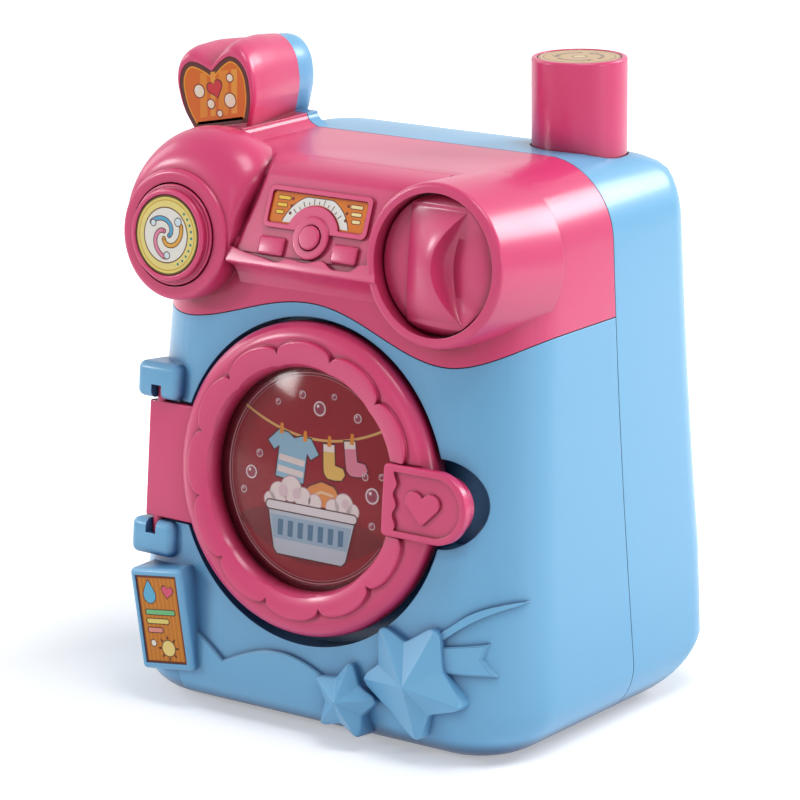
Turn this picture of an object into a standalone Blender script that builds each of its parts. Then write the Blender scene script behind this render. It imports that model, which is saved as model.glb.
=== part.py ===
# Toy washing machine with a press-down drive.
# Metres, +X right, +Y from front to back, +Z up. The origin is the middle of the base.
# The front face leans back, so the door and the pods are placed in a leaning frame whose
# origin is the door's centre on the front face: local X right, local Y into the body, local Z up the face.

import math

import bpy
import bmesh
from mathutils import Matrix, Vector

# Common clearances and walls
gap = 0.0003
label_gap = 0.00015
wall = 0.0022
thin_wall = 0.0018
overrun = 0.010
small_round = 0.0006

# Body
lean = math.radians(5.8)
door_centre_height = 0.0825
face_y = -0.05026
crown_height = 0.0980
body_top = door_centre_height + crown_height
base_half_width = 0.0800
top_half_width = 0.0709
side_hollow = 0.0012
base_edge_radius = 0.0190
rear_base_height = 0.0300
rear_base_depth = 0.0370
top_side_radius = 0.0240
top_front_radius = 0.0160
rear_top_height = 0.0107
rear_top_depth = 0.0480
front_corner_radius = 0.0280
rear_corner_radius = 0.0140
least_corner_radius = 0.0020
back_y_at_base = 0.06594
back_y_at_top = 0.06234
parting_y = 0.01374

# Seam between the pink hood and the blue front, heights above the door's centre
seam_crest_x = -0.0028
seam_half_wave = 0.0533
seam_crest_height = 0.0552
seam_left_height = 0.0451
seam_right_height = 0.0420
seam_right_rise = 0.0200
seam_left_rise = 0.0102

# Console between the pods
panel_lean = math.radians(22.0)
panel_foot_depth = 0.0015
panel_foot_height = 0.0705
panel_length = 0.0270
ledge_bottom_height = 0.0575
ledge_reach = 0.0060
ledge_step = 0.0016
ledge_under = 0.0040
hood_left_x = -0.0450
hood_right_x = 0.0400
hood_back_depth = 0.0300
hood_round = 0.0030
bezel_width = 0.0405
bezel_height = 0.0135
bezel_centre_x = 0.0002
bezel_centre_up = 0.0148
bezel_raise = 0.0009
bezel_rim = 0.0016
bezel_corner = 0.0020
display_label_thickness = 0.0004
display_pocket_depth = 0.0012
arch_radius = 0.0102
start_ring_radius = 0.0069
start_ring_raise = 0.0014
start_x = -0.0002
start_up = 0.0063
start_button_radius = 0.0039
start_button_proud = 0.0022
start_button_depth = 0.0020
start_travel = 0.0012
start_pocket_depth = 0.0070
start_floor = 0.0014
start_stem_radius = 0.0011
start_stem_length = 0.0080
key_width = 0.0100
key_height = 0.0059
key_raise = 0.0013
key_round = 0.0009
left_key_x = -0.0147
left_key_up = 0.0022
right_key_x = 0.0137
right_key_up = 0.0027

# Dial pod and dial
dial_x = 0.0485
dial_up = 0.0741
dial_pod_radius = 0.0253
dial_pod_draft = 0.0018
dial_pod_proud = 0.0075
dial_pod_length = 0.0310
dial_pod_taper = 0.0050
dial_bore_radius = 0.0221
dial_bore_depth = 0.0085
dial_lip_round = 0.0012
dial_radius = 0.0214
dial_disc_drop = 0.0045
dial_disc_thickness = 0.0032
dial_grip_height = 0.0068
grip_foot_share = 0.66
grip_curve_share = 0.72
grip_wall_share = 0.15
grip_step_share = 0.20
grip_hollow_share = 0.30
grip_end_share = 1.70
dial_shaft_radius = 0.0040
dial_shaft_length = 0.0120
dial_hub_thickness = 0.0022
click_wheel_radius = 0.0110
click_notch_depth = 0.0014
click_notches = 12
click_wheel_thickness = 0.0026
click_wheel_drop = 0.0024
click_spring_thickness = 0.0008
click_spring_width = 0.0040
click_spring_length = 0.0160
click_post_size = 0.0040

# Round push button on the left pod
button_x = -0.0517
button_up = 0.0721
button_pod_radius = 0.0210
button_pod_proud = 0.0093
button_pod_length = 0.0240
button_bore_radius = 0.0166
button_bore_depth = 0.0113
button_lip_round = 0.0016
button_flange_radius = 0.0161
button_flange_proud = 0.0006
button_cap_radius = 0.0147
button_cap_proud = 0.0031
button_cap_round = 0.0010
button_label_radius = 0.0126
button_label_thickness = 0.0005
button_label_pocket = 0.0009
button_skirt = 0.0062
button_top = 0.0026
button_stem_radius = 0.0035
button_stem_length = 0.0200
button_travel = 0.0030
button_clip_radius = 0.0065
button_clip_thickness = 0.0012
bulb_radius = 0.0262
bulb_depth = 0.0060
bulb_x = -0.0483
bulb_up = 0.0800

# Heart on the top left
heart_inset = 0.0173
heart_x = heart_inset - base_half_width
heart_half_width = 0.0160
heart_lobe_half_height = 0.0108
heart_notch_drop = 0.0050
badge_top_share = 0.56
notch_curve = 1.5
heart_lobe_height = 0.1152
heart_lower_drop = 0.0325
heart_flank_shares = ((0.985, 0.12), (0.93, 0.25), (0.81, 0.39), (0.64, 0.56), (0.36, 0.78))
heart_turn = math.radians(11.0)
heart_front_depth = 0.0335
heart_rear_thickness = 0.0110
heart_front_shares = ((0.0, 0.92, 0.90, 0.0, 0.56), (0.03, 0.985, 1.0, 0.0, 0.56),
                      (0.11, 1.0, 1.10, 0.01, 0.55), (0.27, 0.995, 1.16, 0.05, 0.53),
                      (0.52, 0.98, 1.15, 0.11, 0.50), (0.80, 0.94, 1.09, 0.17, 0.45),
                      (1.0, 0.90, 1.03, 0.20, 0.42))
heart_rear_shares = ((0.0, 0.885, 1.01, 0.20, 0.42), (0.50, 0.86, 0.97, 0.20, 0.42),
                     (0.86, 0.80, 0.88, 0.20, 0.42), (1.0, 0.70, 0.74, 0.20, 0.42))
heart_foot_width = 0.0061
heart_foot_height = 0.0040
heart_foot_front_depth = 0.0300
badge_thickness = 0.0008
badge_pocket = 0.0010
badge_share = 0.90
badge_drop = 0.0012
badge_cut_drop = 0.0128

# Door recess, finger pocket and drum collar
recess_radius = 0.0523
recess_drop = 0.0010
recess_depth = 0.0100
finger_x = 0.0510
finger_radius = 0.0140
finger_depth = 0.0120
collar_radius = 0.0380
collar_end_depth = 0.0220

# Door
door_radius = 0.0500
window_radius = 0.0355
ring_crest_radius = 0.0442
ring_crest_proud = 0.0050
ring_rim_proud = 0.0024
ring_back_depth = 0.0085
scallop_lobes = 12
scallop_cusp_radius = 0.0420
scallop_depth = 0.0026
scallop_raise = 0.0009
scallop_slope = 0.0006
window_seat_radius = 0.0376
window_seat_depth = 0.0000
dome_rise = 0.0052
dome_wall = 0.0014
dome_flange_thickness = 0.0016
film_thickness = 0.0006
retainer_inner_radius = 0.0325
retainer_thickness = 0.0026
hinge_x = -0.0610
hinge_depth = 0.0010
hinge_pin_radius = 0.0020
hinge_pin_reach = 0.0056
leaf_left_x = -0.0652
leaf_right_x = -0.0450
leaf_top = 0.0165
leaf_bottom = -0.0215
leaf_front_proud = 0.0010
leaf_thickness = 0.0040
leaf_pocket_gap = 0.0008
leaf_swing_gap = 0.0006
bracket_left_x = -0.0696
bracket_right_x = -0.0522
bracket_front_proud = 0.0032
bracket_height = 0.0118
bracket_back_depth = 0.0120
bracket_round = 0.0026
bracket_slot_length = 0.0045
handle_left_x = 0.0336
handle_tip_x = 0.0651
handle_half_height = 0.0114
handle_proud = 0.0070
handle_plate_thickness = 0.0028
handle_body_left_x = 0.0515
handle_body_depth = 0.0010
handle_rim = 0.0022
handle_dish = 0.0008
handle_heart_half_width = 0.0044

# Reliefs moulded on the blue front
relief_raise = 0.0012
star_point_depth = 0.0080
star_side_proud = 0.0026
star_apex_proud = 0.0080
star_tip_half_width = 0.0009
big_star_x = 0.0432
big_star_up = -0.0558
big_star_radius = 0.0182
big_star_inner_radius = 0.0118
big_star_turn = math.radians(56.5)
small_star_x = 0.0198
small_star_up = -0.0672
small_star_radius = 0.0122
small_star_inner_radius = 0.0077
small_star_turn = math.radians(82.7)
cloud_left_x = -0.0500
cloud_right_x = 0.0150
cloud_cusp_x = -0.0305
cloud_cusp_up = -0.0636
cloud_left_rise = 0.0095
cloud_hump_rise = 0.0069
picture_box_inset = 0.0270
picture_box_x = picture_box_inset - base_half_width
picture_box_up = -0.0538
picture_box_width = 0.0214
picture_box_height = 0.0338
picture_box_turn = math.radians(7.3)
picture_box_top_proud = 0.0078
picture_box_bottom_proud = 0.0038
picture_box_back_depth = 0.0100
picture_box_round = 0.0016
picture_rim = 0.0022
picture_pocket = 0.0010
picture_label_thickness = 0.0005

# Ribbon points: across and up in shares of these sizes, from the big star's centre
ribbon_reach = 0.0325
ribbon_rise = 0.0278

# Rear screws and bosses
boss_radius = 0.0042
boss_inset = 0.0150
boss_front_depth = 0.0300
low_boss_height = 0.0232
middle_boss_height = 0.0650
top_boss_rise = 0.0278
screw_radius = 0.0015
screw_head_radius = 0.0030
screw_head_thickness = 0.0020
screw_hole_radius = 0.0018
screw_bite = 0.0120
head_well_radius = 0.0034
head_seat_depth = 0.0080
rib_half_width = 0.0008
rib_sink_share = 0.62

# Drum
drum_front_depth = 0.0228
drum_length = 0.0470
drum_radius = 0.0440
drum_mouth_radius = 0.0386
drum_hub_radius = 0.0060
drum_hub_length = 0.0060
drum_hole_radius = 0.0022
drum_holes_round = 12
drum_hole_rows = 2
paddle_height = 0.0090
paddle_foot = 0.0120
paddle_top = 0.0040

# Shafts
shaft_radius = 0.0020
shaft_head_radius = 0.0045
shaft_head_thickness = 0.0020
shaft_tail = 0.0030
clip_thickness = 0.0010

# Gear train: the rack on the plunger turns the idler, whose wheel turns the drum
gear_module = 0.0015
drum_gear_teeth = 12
wheel_teeth = 40
pinion_teeth = 10
pressure_angle = math.radians(25.0)
addendum_share = 0.85
dedendum_share = 1.20
tooth_thickness_share = 0.42
drum_gear_thickness = 0.0043
wheel_thickness = 0.0040
pinion_length = 0.0107
rack_pitch_x = 0.0385
rack_back_x = 0.0460
rack_width = 0.0060
rack_low_height = 0.0150
rack_teeth = 8
rack_foot_radius = 0.0080
rack_foot_thickness = 0.0022
gear_plate_thickness = 0.0024
gear_plate_margin = 0.0070
plate_screw_head_radius = 0.0028

# Plunger
plunger_x = 0.0430
plunger_depth = 0.0875
plunger_radius = 0.0153
plunger_top_height = 0.1259
plunger_bottom_height = 0.0820
plunger_top_wall = 0.0020
plunger_lip_radius = 0.0171
plunger_lip_thickness = 0.0020
plunger_travel = 0.0220
plunger_label_radius = 0.0132
plunger_label_thickness = 0.0005
plunger_label_pocket = 0.0009
plunger_clearance = 0.0005
guide_length = 0.0110
guide_wall = 0.0018
seat_height = 0.0595
seat_thickness = 0.0025
seat_half_width = 0.0130

# Springs
plunger_spring_radius = 0.0100
plunger_spring_wire = 0.0016
plunger_spring_turns = 7
button_spring_radius = 0.0080
button_spring_wire = 0.0010
button_spring_turns = 4
start_spring_radius = 0.0024
start_spring_wire = 0.0005
start_spring_turns = 3

# Facets
round_sides = 28
small_sides = 10
door_sides = 36
corner_steps = 5
edge_steps = 4
inner_corner_steps = 3
inner_edge_steps = 3
weld = 0.000002
flat_angle = math.radians(0.02)

pink = (0.80, 0.105, 0.215)
blue = (0.262, 0.597, 0.815)


def clear_scene():
    for thing in list(bpy.data.objects):
        bpy.data.objects.remove(thing, do_unlink=True)


def material(name, colour, roughness, metallic=0.0):
    made = bpy.data.materials.new(name)
    made.use_nodes = True
    shader = made.node_tree.nodes["Principled BSDF"]
    shader.inputs["Base Color"].default_value = (*colour, 1.0)
    shader.inputs["Roughness"].default_value = roughness
    shader.inputs["Metallic"].default_value = metallic
    return made


def leaning(x, up, depth=0.0):
    """The frame of a piece on the leaning face."""
    return (Matrix.Translation((0.0, face_y, door_centre_height))
            @ Matrix.Rotation(-lean, 4, "X") @ Matrix.Translation((x, depth, up)))


def upright(x, height, depth=0.0):
    """The frame of a piece whose axis runs straight back, measured from the door's centre."""
    return Matrix.Translation((x, face_y + depth, door_centre_height + height))


def on_panel(x, up):
    """The frame of a piece on the console's sloping panel."""
    foot = Matrix.Translation((0.0, face_y + panel_foot_depth, door_centre_height + panel_foot_height))
    return foot @ Matrix.Rotation(-panel_lean, 4, "X") @ Matrix.Translation((x, 0.0, up))


def solid(name, rings, matrix, closed_tube=False):
    """A closed mesh from rings of points. Each ring faces the last, and the ends are capped."""
    bm = bmesh.new()
    rows = []
    for ring in rings:
        if len(ring) == 1:
            rows.append([bm.verts.new(matrix @ Vector(ring[0]))])
        else:
            rows.append([bm.verts.new(matrix @ Vector(point)) for point in ring])
    pairs = list(zip(rows, rows[1:]))
    if closed_tube:
        pairs.append((rows[-1], rows[0]))
    for low, high in pairs:
        count = max(len(low), len(high))
        for i in range(count):
            j = (i + 1) % count
            if len(low) == 1:
                bm.faces.new((low[0], high[j], high[i]))
            elif len(high) == 1:
                bm.faces.new((low[i], low[j], high[0]))
            else:
                bm.faces.new((low[i], low[j], high[j], high[i]))
    if not closed_tube:
        if len(rows[0]) > 1:
            bm.faces.new(list(reversed(rows[0])))
        if len(rows[-1]) > 1:
            bm.faces.new(rows[-1])
    bmesh.ops.recalc_face_normals(bm, faces=bm.faces)
    bent = [face for face in bm.faces if len(face.verts) == 4]
    bmesh.ops.triangulate(bm, faces=bent)
    return as_object(name, bm)


def as_object(name, bm):
    mesh = bpy.data.meshes.new(name)
    bm.to_mesh(mesh)
    bm.free()
    thing = bpy.data.objects.new(name, mesh)
    bpy.context.scene.collection.objects.link(thing)
    return thing


def turned(name, profile, matrix, sides=round_sides):
    """Points of radius and depth, turned about local Y. A profile off the axis at both ends is closed on itself."""
    rings = []
    for radius, depth in profile:
        if radius == 0.0:
            rings.append([(0.0, depth, 0.0)])
        else:
            ring = []
            for i in range(sides):
                angle = 2.0 * math.pi * i / sides
                ring.append((radius * math.cos(angle), depth, radius * math.sin(angle)))
            rings.append(ring)
    hollow = profile[0][0] > 0.0 and profile[-1][0] > 0.0
    return solid(name, rings, matrix, closed_tube=hollow)


def cylinder(radius, start, end, matrix, sides=small_sides):
    return turned("cylinder", [(0.0, start), (radius, start), (radius, end), (0.0, end)], matrix, sides)


def prism(outline, start, end, matrix):
    """An outline in local X and Z, drawn out along local Y."""
    near = [(x, start, z) for x, z in outline]
    far = [(x, end, z) for x, z in outline]
    return solid("prism", [near, far], matrix)


def box(low, high, matrix, rounding=0.0, steps=2):
    bm = bmesh.new()
    bmesh.ops.create_cube(bm, size=1.0)
    size = [high[k] - low[k] for k in range(3)]
    middle = [(high[k] + low[k]) / 2.0 for k in range(3)]
    bmesh.ops.transform(bm, matrix=Matrix.Diagonal((*size, 1.0)), verts=bm.verts)
    if rounding > 0.0:
        bmesh.ops.bevel(bm, geom=bm.edges[:], offset=rounding, segments=steps, profile=0.5,
                        affect="EDGES", material=-1)
    bmesh.ops.transform(bm, matrix=matrix @ Matrix.Translation(middle), verts=bm.verts)
    return as_object("box", bm)


def combine(thing, other, operation):
    """Adds, cuts or keeps the common part of two solids, and removes the second."""
    step = thing.modifiers.new("combine", "BOOLEAN")
    step.operation = operation
    step.solver = "EXACT"
    step.object = other
    graph = bpy.context.evaluated_depsgraph_get()
    mesh = bpy.data.meshes.new_from_object(thing.evaluated_get(graph))
    thing.modifiers.clear()
    bm = bmesh.new()
    bm.from_mesh(mesh)
    bmesh.ops.remove_doubles(bm, verts=bm.verts, dist=weld)
    bmesh.ops.dissolve_degenerate(bm, edges=bm.edges, dist=weld)
    bmesh.ops.dissolve_limit(bm, verts=bm.verts, edges=bm.edges, angle_limit=flat_angle)
    loose = [edge for edge in bm.edges if not edge.link_faces]
    bmesh.ops.delete(bm, geom=loose, context="EDGES")
    pinholes = [edge for edge in bm.edges if len(edge.link_faces) == 1]
    bmesh.ops.holes_fill(bm, edges=pinholes, sides=4)
    bm.to_mesh(mesh)
    bm.free()
    thing.data = mesh
    bpy.data.objects.remove(other, do_unlink=True)
    return thing


def add(thing, *others):
    for other in others:
        combine(thing, other, "UNION")
    return thing


def cut(thing, *others):
    for other in others:
        combine(thing, other, "DIFFERENCE")
    return thing


def keep(thing, other):
    return combine(thing, other, "INTERSECT")


def finish(thing, name, made_of, angle=math.radians(35.0)):
    thing.name = name
    thing.data.name = name
    thing.data.materials.clear()
    thing.data.materials.append(made_of)
    thing.data.shade_smooth()
    thing.data.set_sharp_from_angle(angle=angle)
    return thing


def place_origin(thing, point):
    """Moves the object's origin to a point of the world and leaves its shape where it is."""
    thing.data.transform(Matrix.Translation(-Vector(point)))
    thing.matrix_world = Matrix.Translation(Vector(point))
    return thing


def offset_outline(points, distance):
    """The outline grown by a distance, with mitred corners. Points run counter-clockwise."""
    grown = []
    count = len(points)
    for i in range(count):
        before = Vector(points[i - 1])
        here = Vector(points[i])
        after = Vector(points[(i + 1) % count])
        first = (here - before).normalized()
        second = (after - here).normalized()
        normal_a = Vector((first.y, -first.x))
        normal_b = Vector((second.y, -second.x))
        mitre = (normal_a + normal_b).normalized()
        reach = distance / max(mitre.dot(normal_a), 0.3)
        grown.append(tuple(here + mitre * reach))
    return grown


def arc(centre, radius, start, end, steps):
    points = []
    for i in range(steps + 1):
        angle = start + (end - start) * i / steps
        points.append((centre[0] + radius * math.cos(angle), centre[1] + radius * math.sin(angle)))
    return points


# Body shell

def inset(height, radius):
    """How far a rounded edge stands in from its face at a height above its foot."""
    if height >= radius:
        return 0.0
    rise = radius - max(height, 0.0)
    return radius - math.sqrt(max(radius * radius - rise * rise, 0.0))


def half_width(z):
    share = (z - base_edge_radius) / (body_top - base_edge_radius)
    share = min(max(share, 0.0), 1.0)
    straight = base_half_width + (top_half_width - base_half_width) * share
    return straight - side_hollow * math.sin(math.pi * share)


def face_at(z):
    return face_y + math.tan(lean) * (z - door_centre_height)


def back_at(z):
    return back_y_at_base + (back_y_at_top - back_y_at_base) * z / body_top


def body_ring(z, grow, steps):
    foot = z + grow
    head = body_top + grow - z
    side = inset(foot, base_edge_radius + grow) + inset(head, top_side_radius + grow)
    front = inset(foot, base_edge_radius + grow) + inset(head, top_front_radius + grow)
    base_slope = rear_base_depth / rear_base_height
    top_slope = rear_top_depth / rear_top_height
    rear = inset(foot, rear_base_height + grow) * base_slope + inset(head, rear_top_height + grow) * top_slope
    right = half_width(z) + grow - side
    near = face_at(z) - grow + front
    far = back_at(z) + grow - rear
    front_radius = max(front_corner_radius + grow - max(side, front), least_corner_radius)
    rear_radius = max(rear_corner_radius + grow - side / 3.0, least_corner_radius)
    quarter = math.pi / 2.0
    outline = arc((right - front_radius, near + front_radius), front_radius, -quarter, 0.0, steps)
    outline += arc((right - rear_radius, far - rear_radius), rear_radius, 0.0, quarter, steps)
    outline += arc((rear_radius - right, far - rear_radius), rear_radius, quarter, 2.0 * quarter, steps)
    outline += arc((front_radius - right, near + front_radius), front_radius,
                   2.0 * quarter, 3.0 * quarter, steps)
    return [(x, y, z) for x, y in outline]


def body_levels(grow, steps, shares):
    levels = []
    for i in range(steps + 1):
        angle = math.pi / 2.0 * i / steps
        levels.append((base_edge_radius + grow) * (1.0 - math.cos(angle)) - grow)
    low = base_edge_radius
    high = body_top - top_side_radius
    levels.insert(2, (levels[1] + levels[2]) / 2.0)
    for share in shares:
        levels.append(low + (high - low) * share)
    for i in range(steps + 1):
        angle = math.pi / 2.0 * i / steps
        levels.append(body_top + grow - (top_side_radius + grow) * (1.0 - math.sin(angle)))
    return levels


def body_solid(grow):
    """The body's outside, grown outward, or its hollow, grown inward."""
    if grow < 0.0:
        levels = body_levels(grow, inner_edge_steps, (0.33, 0.67))
        rings = [body_ring(z, grow, inner_corner_steps) for z in levels]
    else:
        levels = body_levels(grow, edge_steps, (0.2, 0.4, 0.6, 0.8))
        rings = [body_ring(z, grow, corner_steps) for z in levels]
    return solid("body", rings, Matrix.Identity(4))


def seam_height(x):
    """The wavy seam of the hood, above the door's centre."""
    phase = (x - seam_crest_x) / seam_half_wave
    if phase > 1.0:
        return seam_right_height + seam_right_rise / 2.0 * (1.0 - math.cos(math.pi * (phase - 1.0)))
    if phase < -1.0:
        return seam_left_height + seam_left_rise / 2.0 * (1.0 - math.cos(math.pi * (phase + 1.0)))
    valley = seam_right_height if phase > 0.0 else seam_left_height
    return valley + (seam_crest_height - valley) / 2.0 * (1.0 + math.cos(math.pi * phase))


def seam_region(above):
    """Everything in front of the parting plane, above or below the seam."""
    side = base_half_width + overrun
    steps = 40
    half = gap / 2.0
    line = []
    for i in range(steps + 1):
        x = -side + 2.0 * side * i / steps
        shift = half if above else -half
        line.append((x, door_centre_height + seam_height(x) + shift))
    if above:
        far = body_top + heart_lobe_height
        outline = line + [(side, far), (-side, far)]
    else:
        outline = [(-side, -overrun), (side, -overrun)] + list(reversed(line))
    return prism(outline, face_y - parting_y - overrun, parting_y - half, Matrix.Identity(4))


# Hood

def console_outline(grow):
    """The console's side outline in depth and height, from the door's centre on the face."""
    run = panel_length * math.sin(panel_lean)
    rise = panel_length * math.cos(panel_lean)
    top_depth = panel_foot_depth + run
    top_height = panel_foot_height + rise
    crown = body_top - door_centre_height
    face_here = math.tan(lean) * ledge_bottom_height
    points = [
        (hood_back_depth, ledge_bottom_height),
        (hood_back_depth, crown - small_round),
        (top_depth + hood_round + hood_round, crown - small_round / 4.0),
        (top_depth + hood_round, (top_height + crown) / 2.0 + small_round),
        (top_depth, top_height),
        (panel_foot_depth, panel_foot_height),
        (panel_foot_depth - ledge_step, panel_foot_height - ledge_step / 2.0),
        (face_here - ledge_reach, ledge_bottom_height + ledge_under),
        (face_here, ledge_bottom_height),
    ]
    return offset_outline(points, grow)


def console_solid(grow):
    rows = []
    for x in (hood_left_x, hood_right_x):
        rows.append([(x, face_y + depth, door_centre_height + height)
                     for depth, height in console_outline(grow)])
    return solid("console", rows, Matrix.Identity(4))


def dial_pod(grow):
    front = -dial_pod_proud - grow
    end = front + dial_pod_length
    near = dial_pod_radius + grow
    return turned("pod", [(0.0, front), (near - dial_lip_round, front), (near, front + dial_lip_round),
                          (near + dial_pod_draft, end), (near - dial_pod_taper, end + dial_pod_taper / 2.0),
                          (0.0, end + dial_pod_taper / 2.0)], leaning(dial_x, dial_up))


def button_pod(grow):
    front = -button_pod_proud - grow
    end = front + button_pod_length
    near = button_pod_radius + grow
    return turned("pod", [(0.0, front), (near - button_lip_round, front),
                          (near - button_lip_round / 4.0, front + button_lip_round / 3.0),
                          (near, front + button_lip_round), (near, end), (0.0, end)],
                  leaning(button_x, button_up))


def bulb(grow):
    """A round shoulder that swells up and back from the pod's lip and closes inside the body."""
    steps = 4 if grow < 0.0 else 6
    sides = 20 if grow < 0.0 else 32
    start = button_lip_round - button_pod_proud - grow
    rows = []
    for i in range(steps + 1):
        swell = math.sin(math.pi / 2.0 * i / steps)
        ahead = 1.0 - math.cos(math.pi / 2.0 * i / steps)
        radius = button_pod_radius - small_round + (bulb_radius - button_pod_radius) * swell + grow
        rows.append((button_x + (bulb_x - button_x) * swell, button_up + (bulb_up - button_up) * swell,
                     radius, start + (bulb_depth - start) * ahead))
    for i in range(1, steps):
        angle = math.pi / 2.0 * i / steps
        rows.append((bulb_x, bulb_up, (bulb_radius + grow) * math.cos(angle),
                     bulb_depth + (bulb_radius + grow) * math.sin(angle)))
    rings = [[(button_x, start, button_up)]]
    for x, up, radius, depth in rows:
        rings.append([(x + radius * math.cos(2.0 * math.pi * k / sides), depth,
                       up + radius * math.sin(2.0 * math.pi * k / sides)) for k in range(sides)])
    rings.append([(bulb_x, bulb_depth + bulb_radius + grow, bulb_up)])
    return solid("bulb", rings, leaning(0.0, 0.0))


def heart_outline(across_share, up_share, top_share, grow):
    """The right half from the notch over its lobe to the tip, then the left half. Counter-clockwise."""
    top_x = heart_half_width * top_share
    steps = 4
    right = []
    for i in range(steps):
        along = i / steps
        right.append((top_x * along, heart_lobe_half_height - heart_notch_drop * (1.0 - along) ** notch_curve))
    for i in range(steps + 1):
        angle = math.pi / 2.0 * (1.0 - i / steps)
        right.append((top_x + (heart_half_width - top_x) * math.cos(angle),
                      heart_lobe_half_height * math.sin(angle)))
    right += [(heart_half_width * across, -heart_lower_drop * down) for across, down in heart_flank_shares]
    points = right + [(0.0, -heart_lower_drop)] + [(-x, z) for x, z in reversed(right[1:])]
    points.reverse()
    scaled = [(x * across_share, z * (up_share if z > 0.0 else across_share)) for x, z in points]
    return offset_outline(scaled, grow) if grow else scaled


def heart_ring(section, depth, grow):
    across, up, drift, top = section
    frame = heart_frame(drift)
    return [frame @ Vector((x, depth, z)) for x, z in heart_outline(across, up, top, grow)]


def heart_frame(drift):
    """The heart leans outward, and drifts outward towards its back."""
    x = heart_x - heart_half_width * drift
    return upright(x, heart_lobe_height) @ Matrix.Rotation(-heart_turn, 4, "Y")


def heart_solid(grow, rear):
    """A full heart. Its front half ends past the parting plane, and so does its rear half."""
    start = heart_front_depth - grow
    parting = parting_y - face_y
    overlap = overrun / 2.0 - grow
    rings = []
    if not rear:
        shares = heart_front_shares[::2] + heart_front_shares[-1:] if grow < 0.0 else heart_front_shares
        for along, *section in shares:
            rings.append(heart_ring(section, start + (parting - start) * along, grow))
        rings.append([point + Vector((0.0, overlap, 0.0)) for point in rings[-1]])
    else:
        for along, *section in heart_rear_shares:
            rings.append(heart_ring(section, parting + (heart_rear_thickness + grow) * along, grow))
        rings.insert(0, [point - Vector((0.0, overlap, 0.0)) for point in rings[0]])
    return solid("heart", rings, Matrix.Identity(4))


def heart_foot(rear):
    crown = body_top - door_centre_height
    side = heart_x + heart_half_width * 0.89
    outline = [(side - heart_foot_width, crown - heart_foot_height),
               (side + heart_foot_width, crown - small_round),
               (side, crown + heart_foot_height),
               (side - heart_foot_width, crown + heart_foot_height)]
    parting = parting_y - face_y
    if rear:
        return prism(outline, parting - overrun / 2.0, parting + heart_rear_thickness / 2.0,
                     upright(0.0, 0.0))
    return prism(outline, heart_foot_front_depth, parting + overrun / 2.0, upright(0.0, 0.0))


def rounded_rectangle(width, height, radius, centre=(0.0, 0.0), steps=3):
    quarter = math.pi / 2.0
    x = width / 2.0 - radius
    z = height / 2.0 - radius
    points = []
    for turn, (cx, cz) in enumerate(((x, -z), (x, z), (-x, z), (-x, -z))):
        points += arc((centre[0] + cx, centre[1] + cz), radius,
                      (turn - 1) * quarter, turn * quarter, steps)
    return points


def display_outline(grow):
    """The display's outline with a round notch that follows the start button's ring."""
    width = bezel_width - 2.0 * bezel_rim + 2.0 * grow
    height = bezel_height - 2.0 * bezel_rim + 2.0 * grow
    points = rounded_rectangle(width, height, bezel_corner / 2.0, (bezel_centre_x, bezel_centre_up))
    bottom = bezel_centre_up - height / 2.0
    radius = arch_radius - grow
    drop = bottom - start_up
    half = math.sqrt(radius * radius - drop * drop)
    angle = math.asin(drop / radius)
    notch = arc((start_x, start_up), radius, math.pi - angle, angle, 10)
    first = [point for point in points if not (abs(point[0]) < half and point[1] < bezel_centre_up)]
    split = max(range(len(first)), key=lambda i: (first[i][1] <= bottom + gap and first[i][0] < 0.0) * (i + 1))
    return first[:split + 1] + notch + first[split + 1:]


def boss_place(height, side):
    x = half_width(height) - wall - boss_inset
    return Matrix.Translation((side * x, face_y, height))


def top_boss_height():
    """The top bosses stand a set rise above the gear plate's right screw."""
    return door_centre_height + idler_centre()[1] + top_boss_rise


def boss_heights():
    return low_boss_height, middle_boss_height, top_boss_height()


def rib(height, side, start, end):
    """A rib from a boss to the side wall."""
    reach = boss_inset + wall * rib_sink_share
    low = min(0.0, side * reach)
    return box((low, start, -rib_half_width), (low + reach, end, rib_half_width), boss_place(height, side))


def front_boss(height, side):
    depth = parting_y - gap / 2.0 - face_y
    boss = cylinder(boss_radius, boss_front_depth, depth + gap, boss_place(height, side))
    return add(boss, rib(height, side, boss_front_depth + small_round, depth + gap))


def front_boss_hole(height, side):
    return cylinder(screw_hole_radius, boss_front_depth + wall, parting_y + gap - face_y,
                    boss_place(height, side), 10)


def recess_cut(grow):
    return cylinder(recess_radius + grow, -overrun, recess_depth + grow, leaning(0.0, -recess_drop), door_sides)


def finger_cut(grow):
    return cylinder(finger_radius + grow, -overrun, finger_depth + grow, leaning(finger_x, 0.0), 24)


def hinge_cuts(grow):
    """The pocket behind the door's leaf and the groove round its pins."""
    low = (leaf_left_x - leaf_pocket_gap - grow, -overrun, leaf_bottom - leaf_pocket_gap - grow)
    high = (-recess_radius + overrun, hinge_depth + leaf_thickness / 2.0 + leaf_pocket_gap + grow,
            leaf_top + leaf_pocket_gap + grow)
    reach = math.hypot(hinge_x - leaf_left_x, leaf_thickness / 2.0) + leaf_swing_gap + grow
    groove = turned("groove", [(0.0, low[2]), (reach, low[2]), (reach, high[2]), (0.0, high[2])],
                    leaning(hinge_x, 0.0, hinge_depth) @ Matrix.Rotation(math.pi / 2.0, 4, "X"), small_sides)
    return box(low, high, leaning(0.0, 0.0)), groove


def collar_cut(grow):
    """The collar round the drum's mouth ends at its own depth. Its bore runs through."""
    end = collar_end_depth if grow > 0.0 else collar_end_depth + overrun
    return cylinder(collar_radius + grow, -overrun, end, upright(0.0, 0.0), 44)


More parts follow.
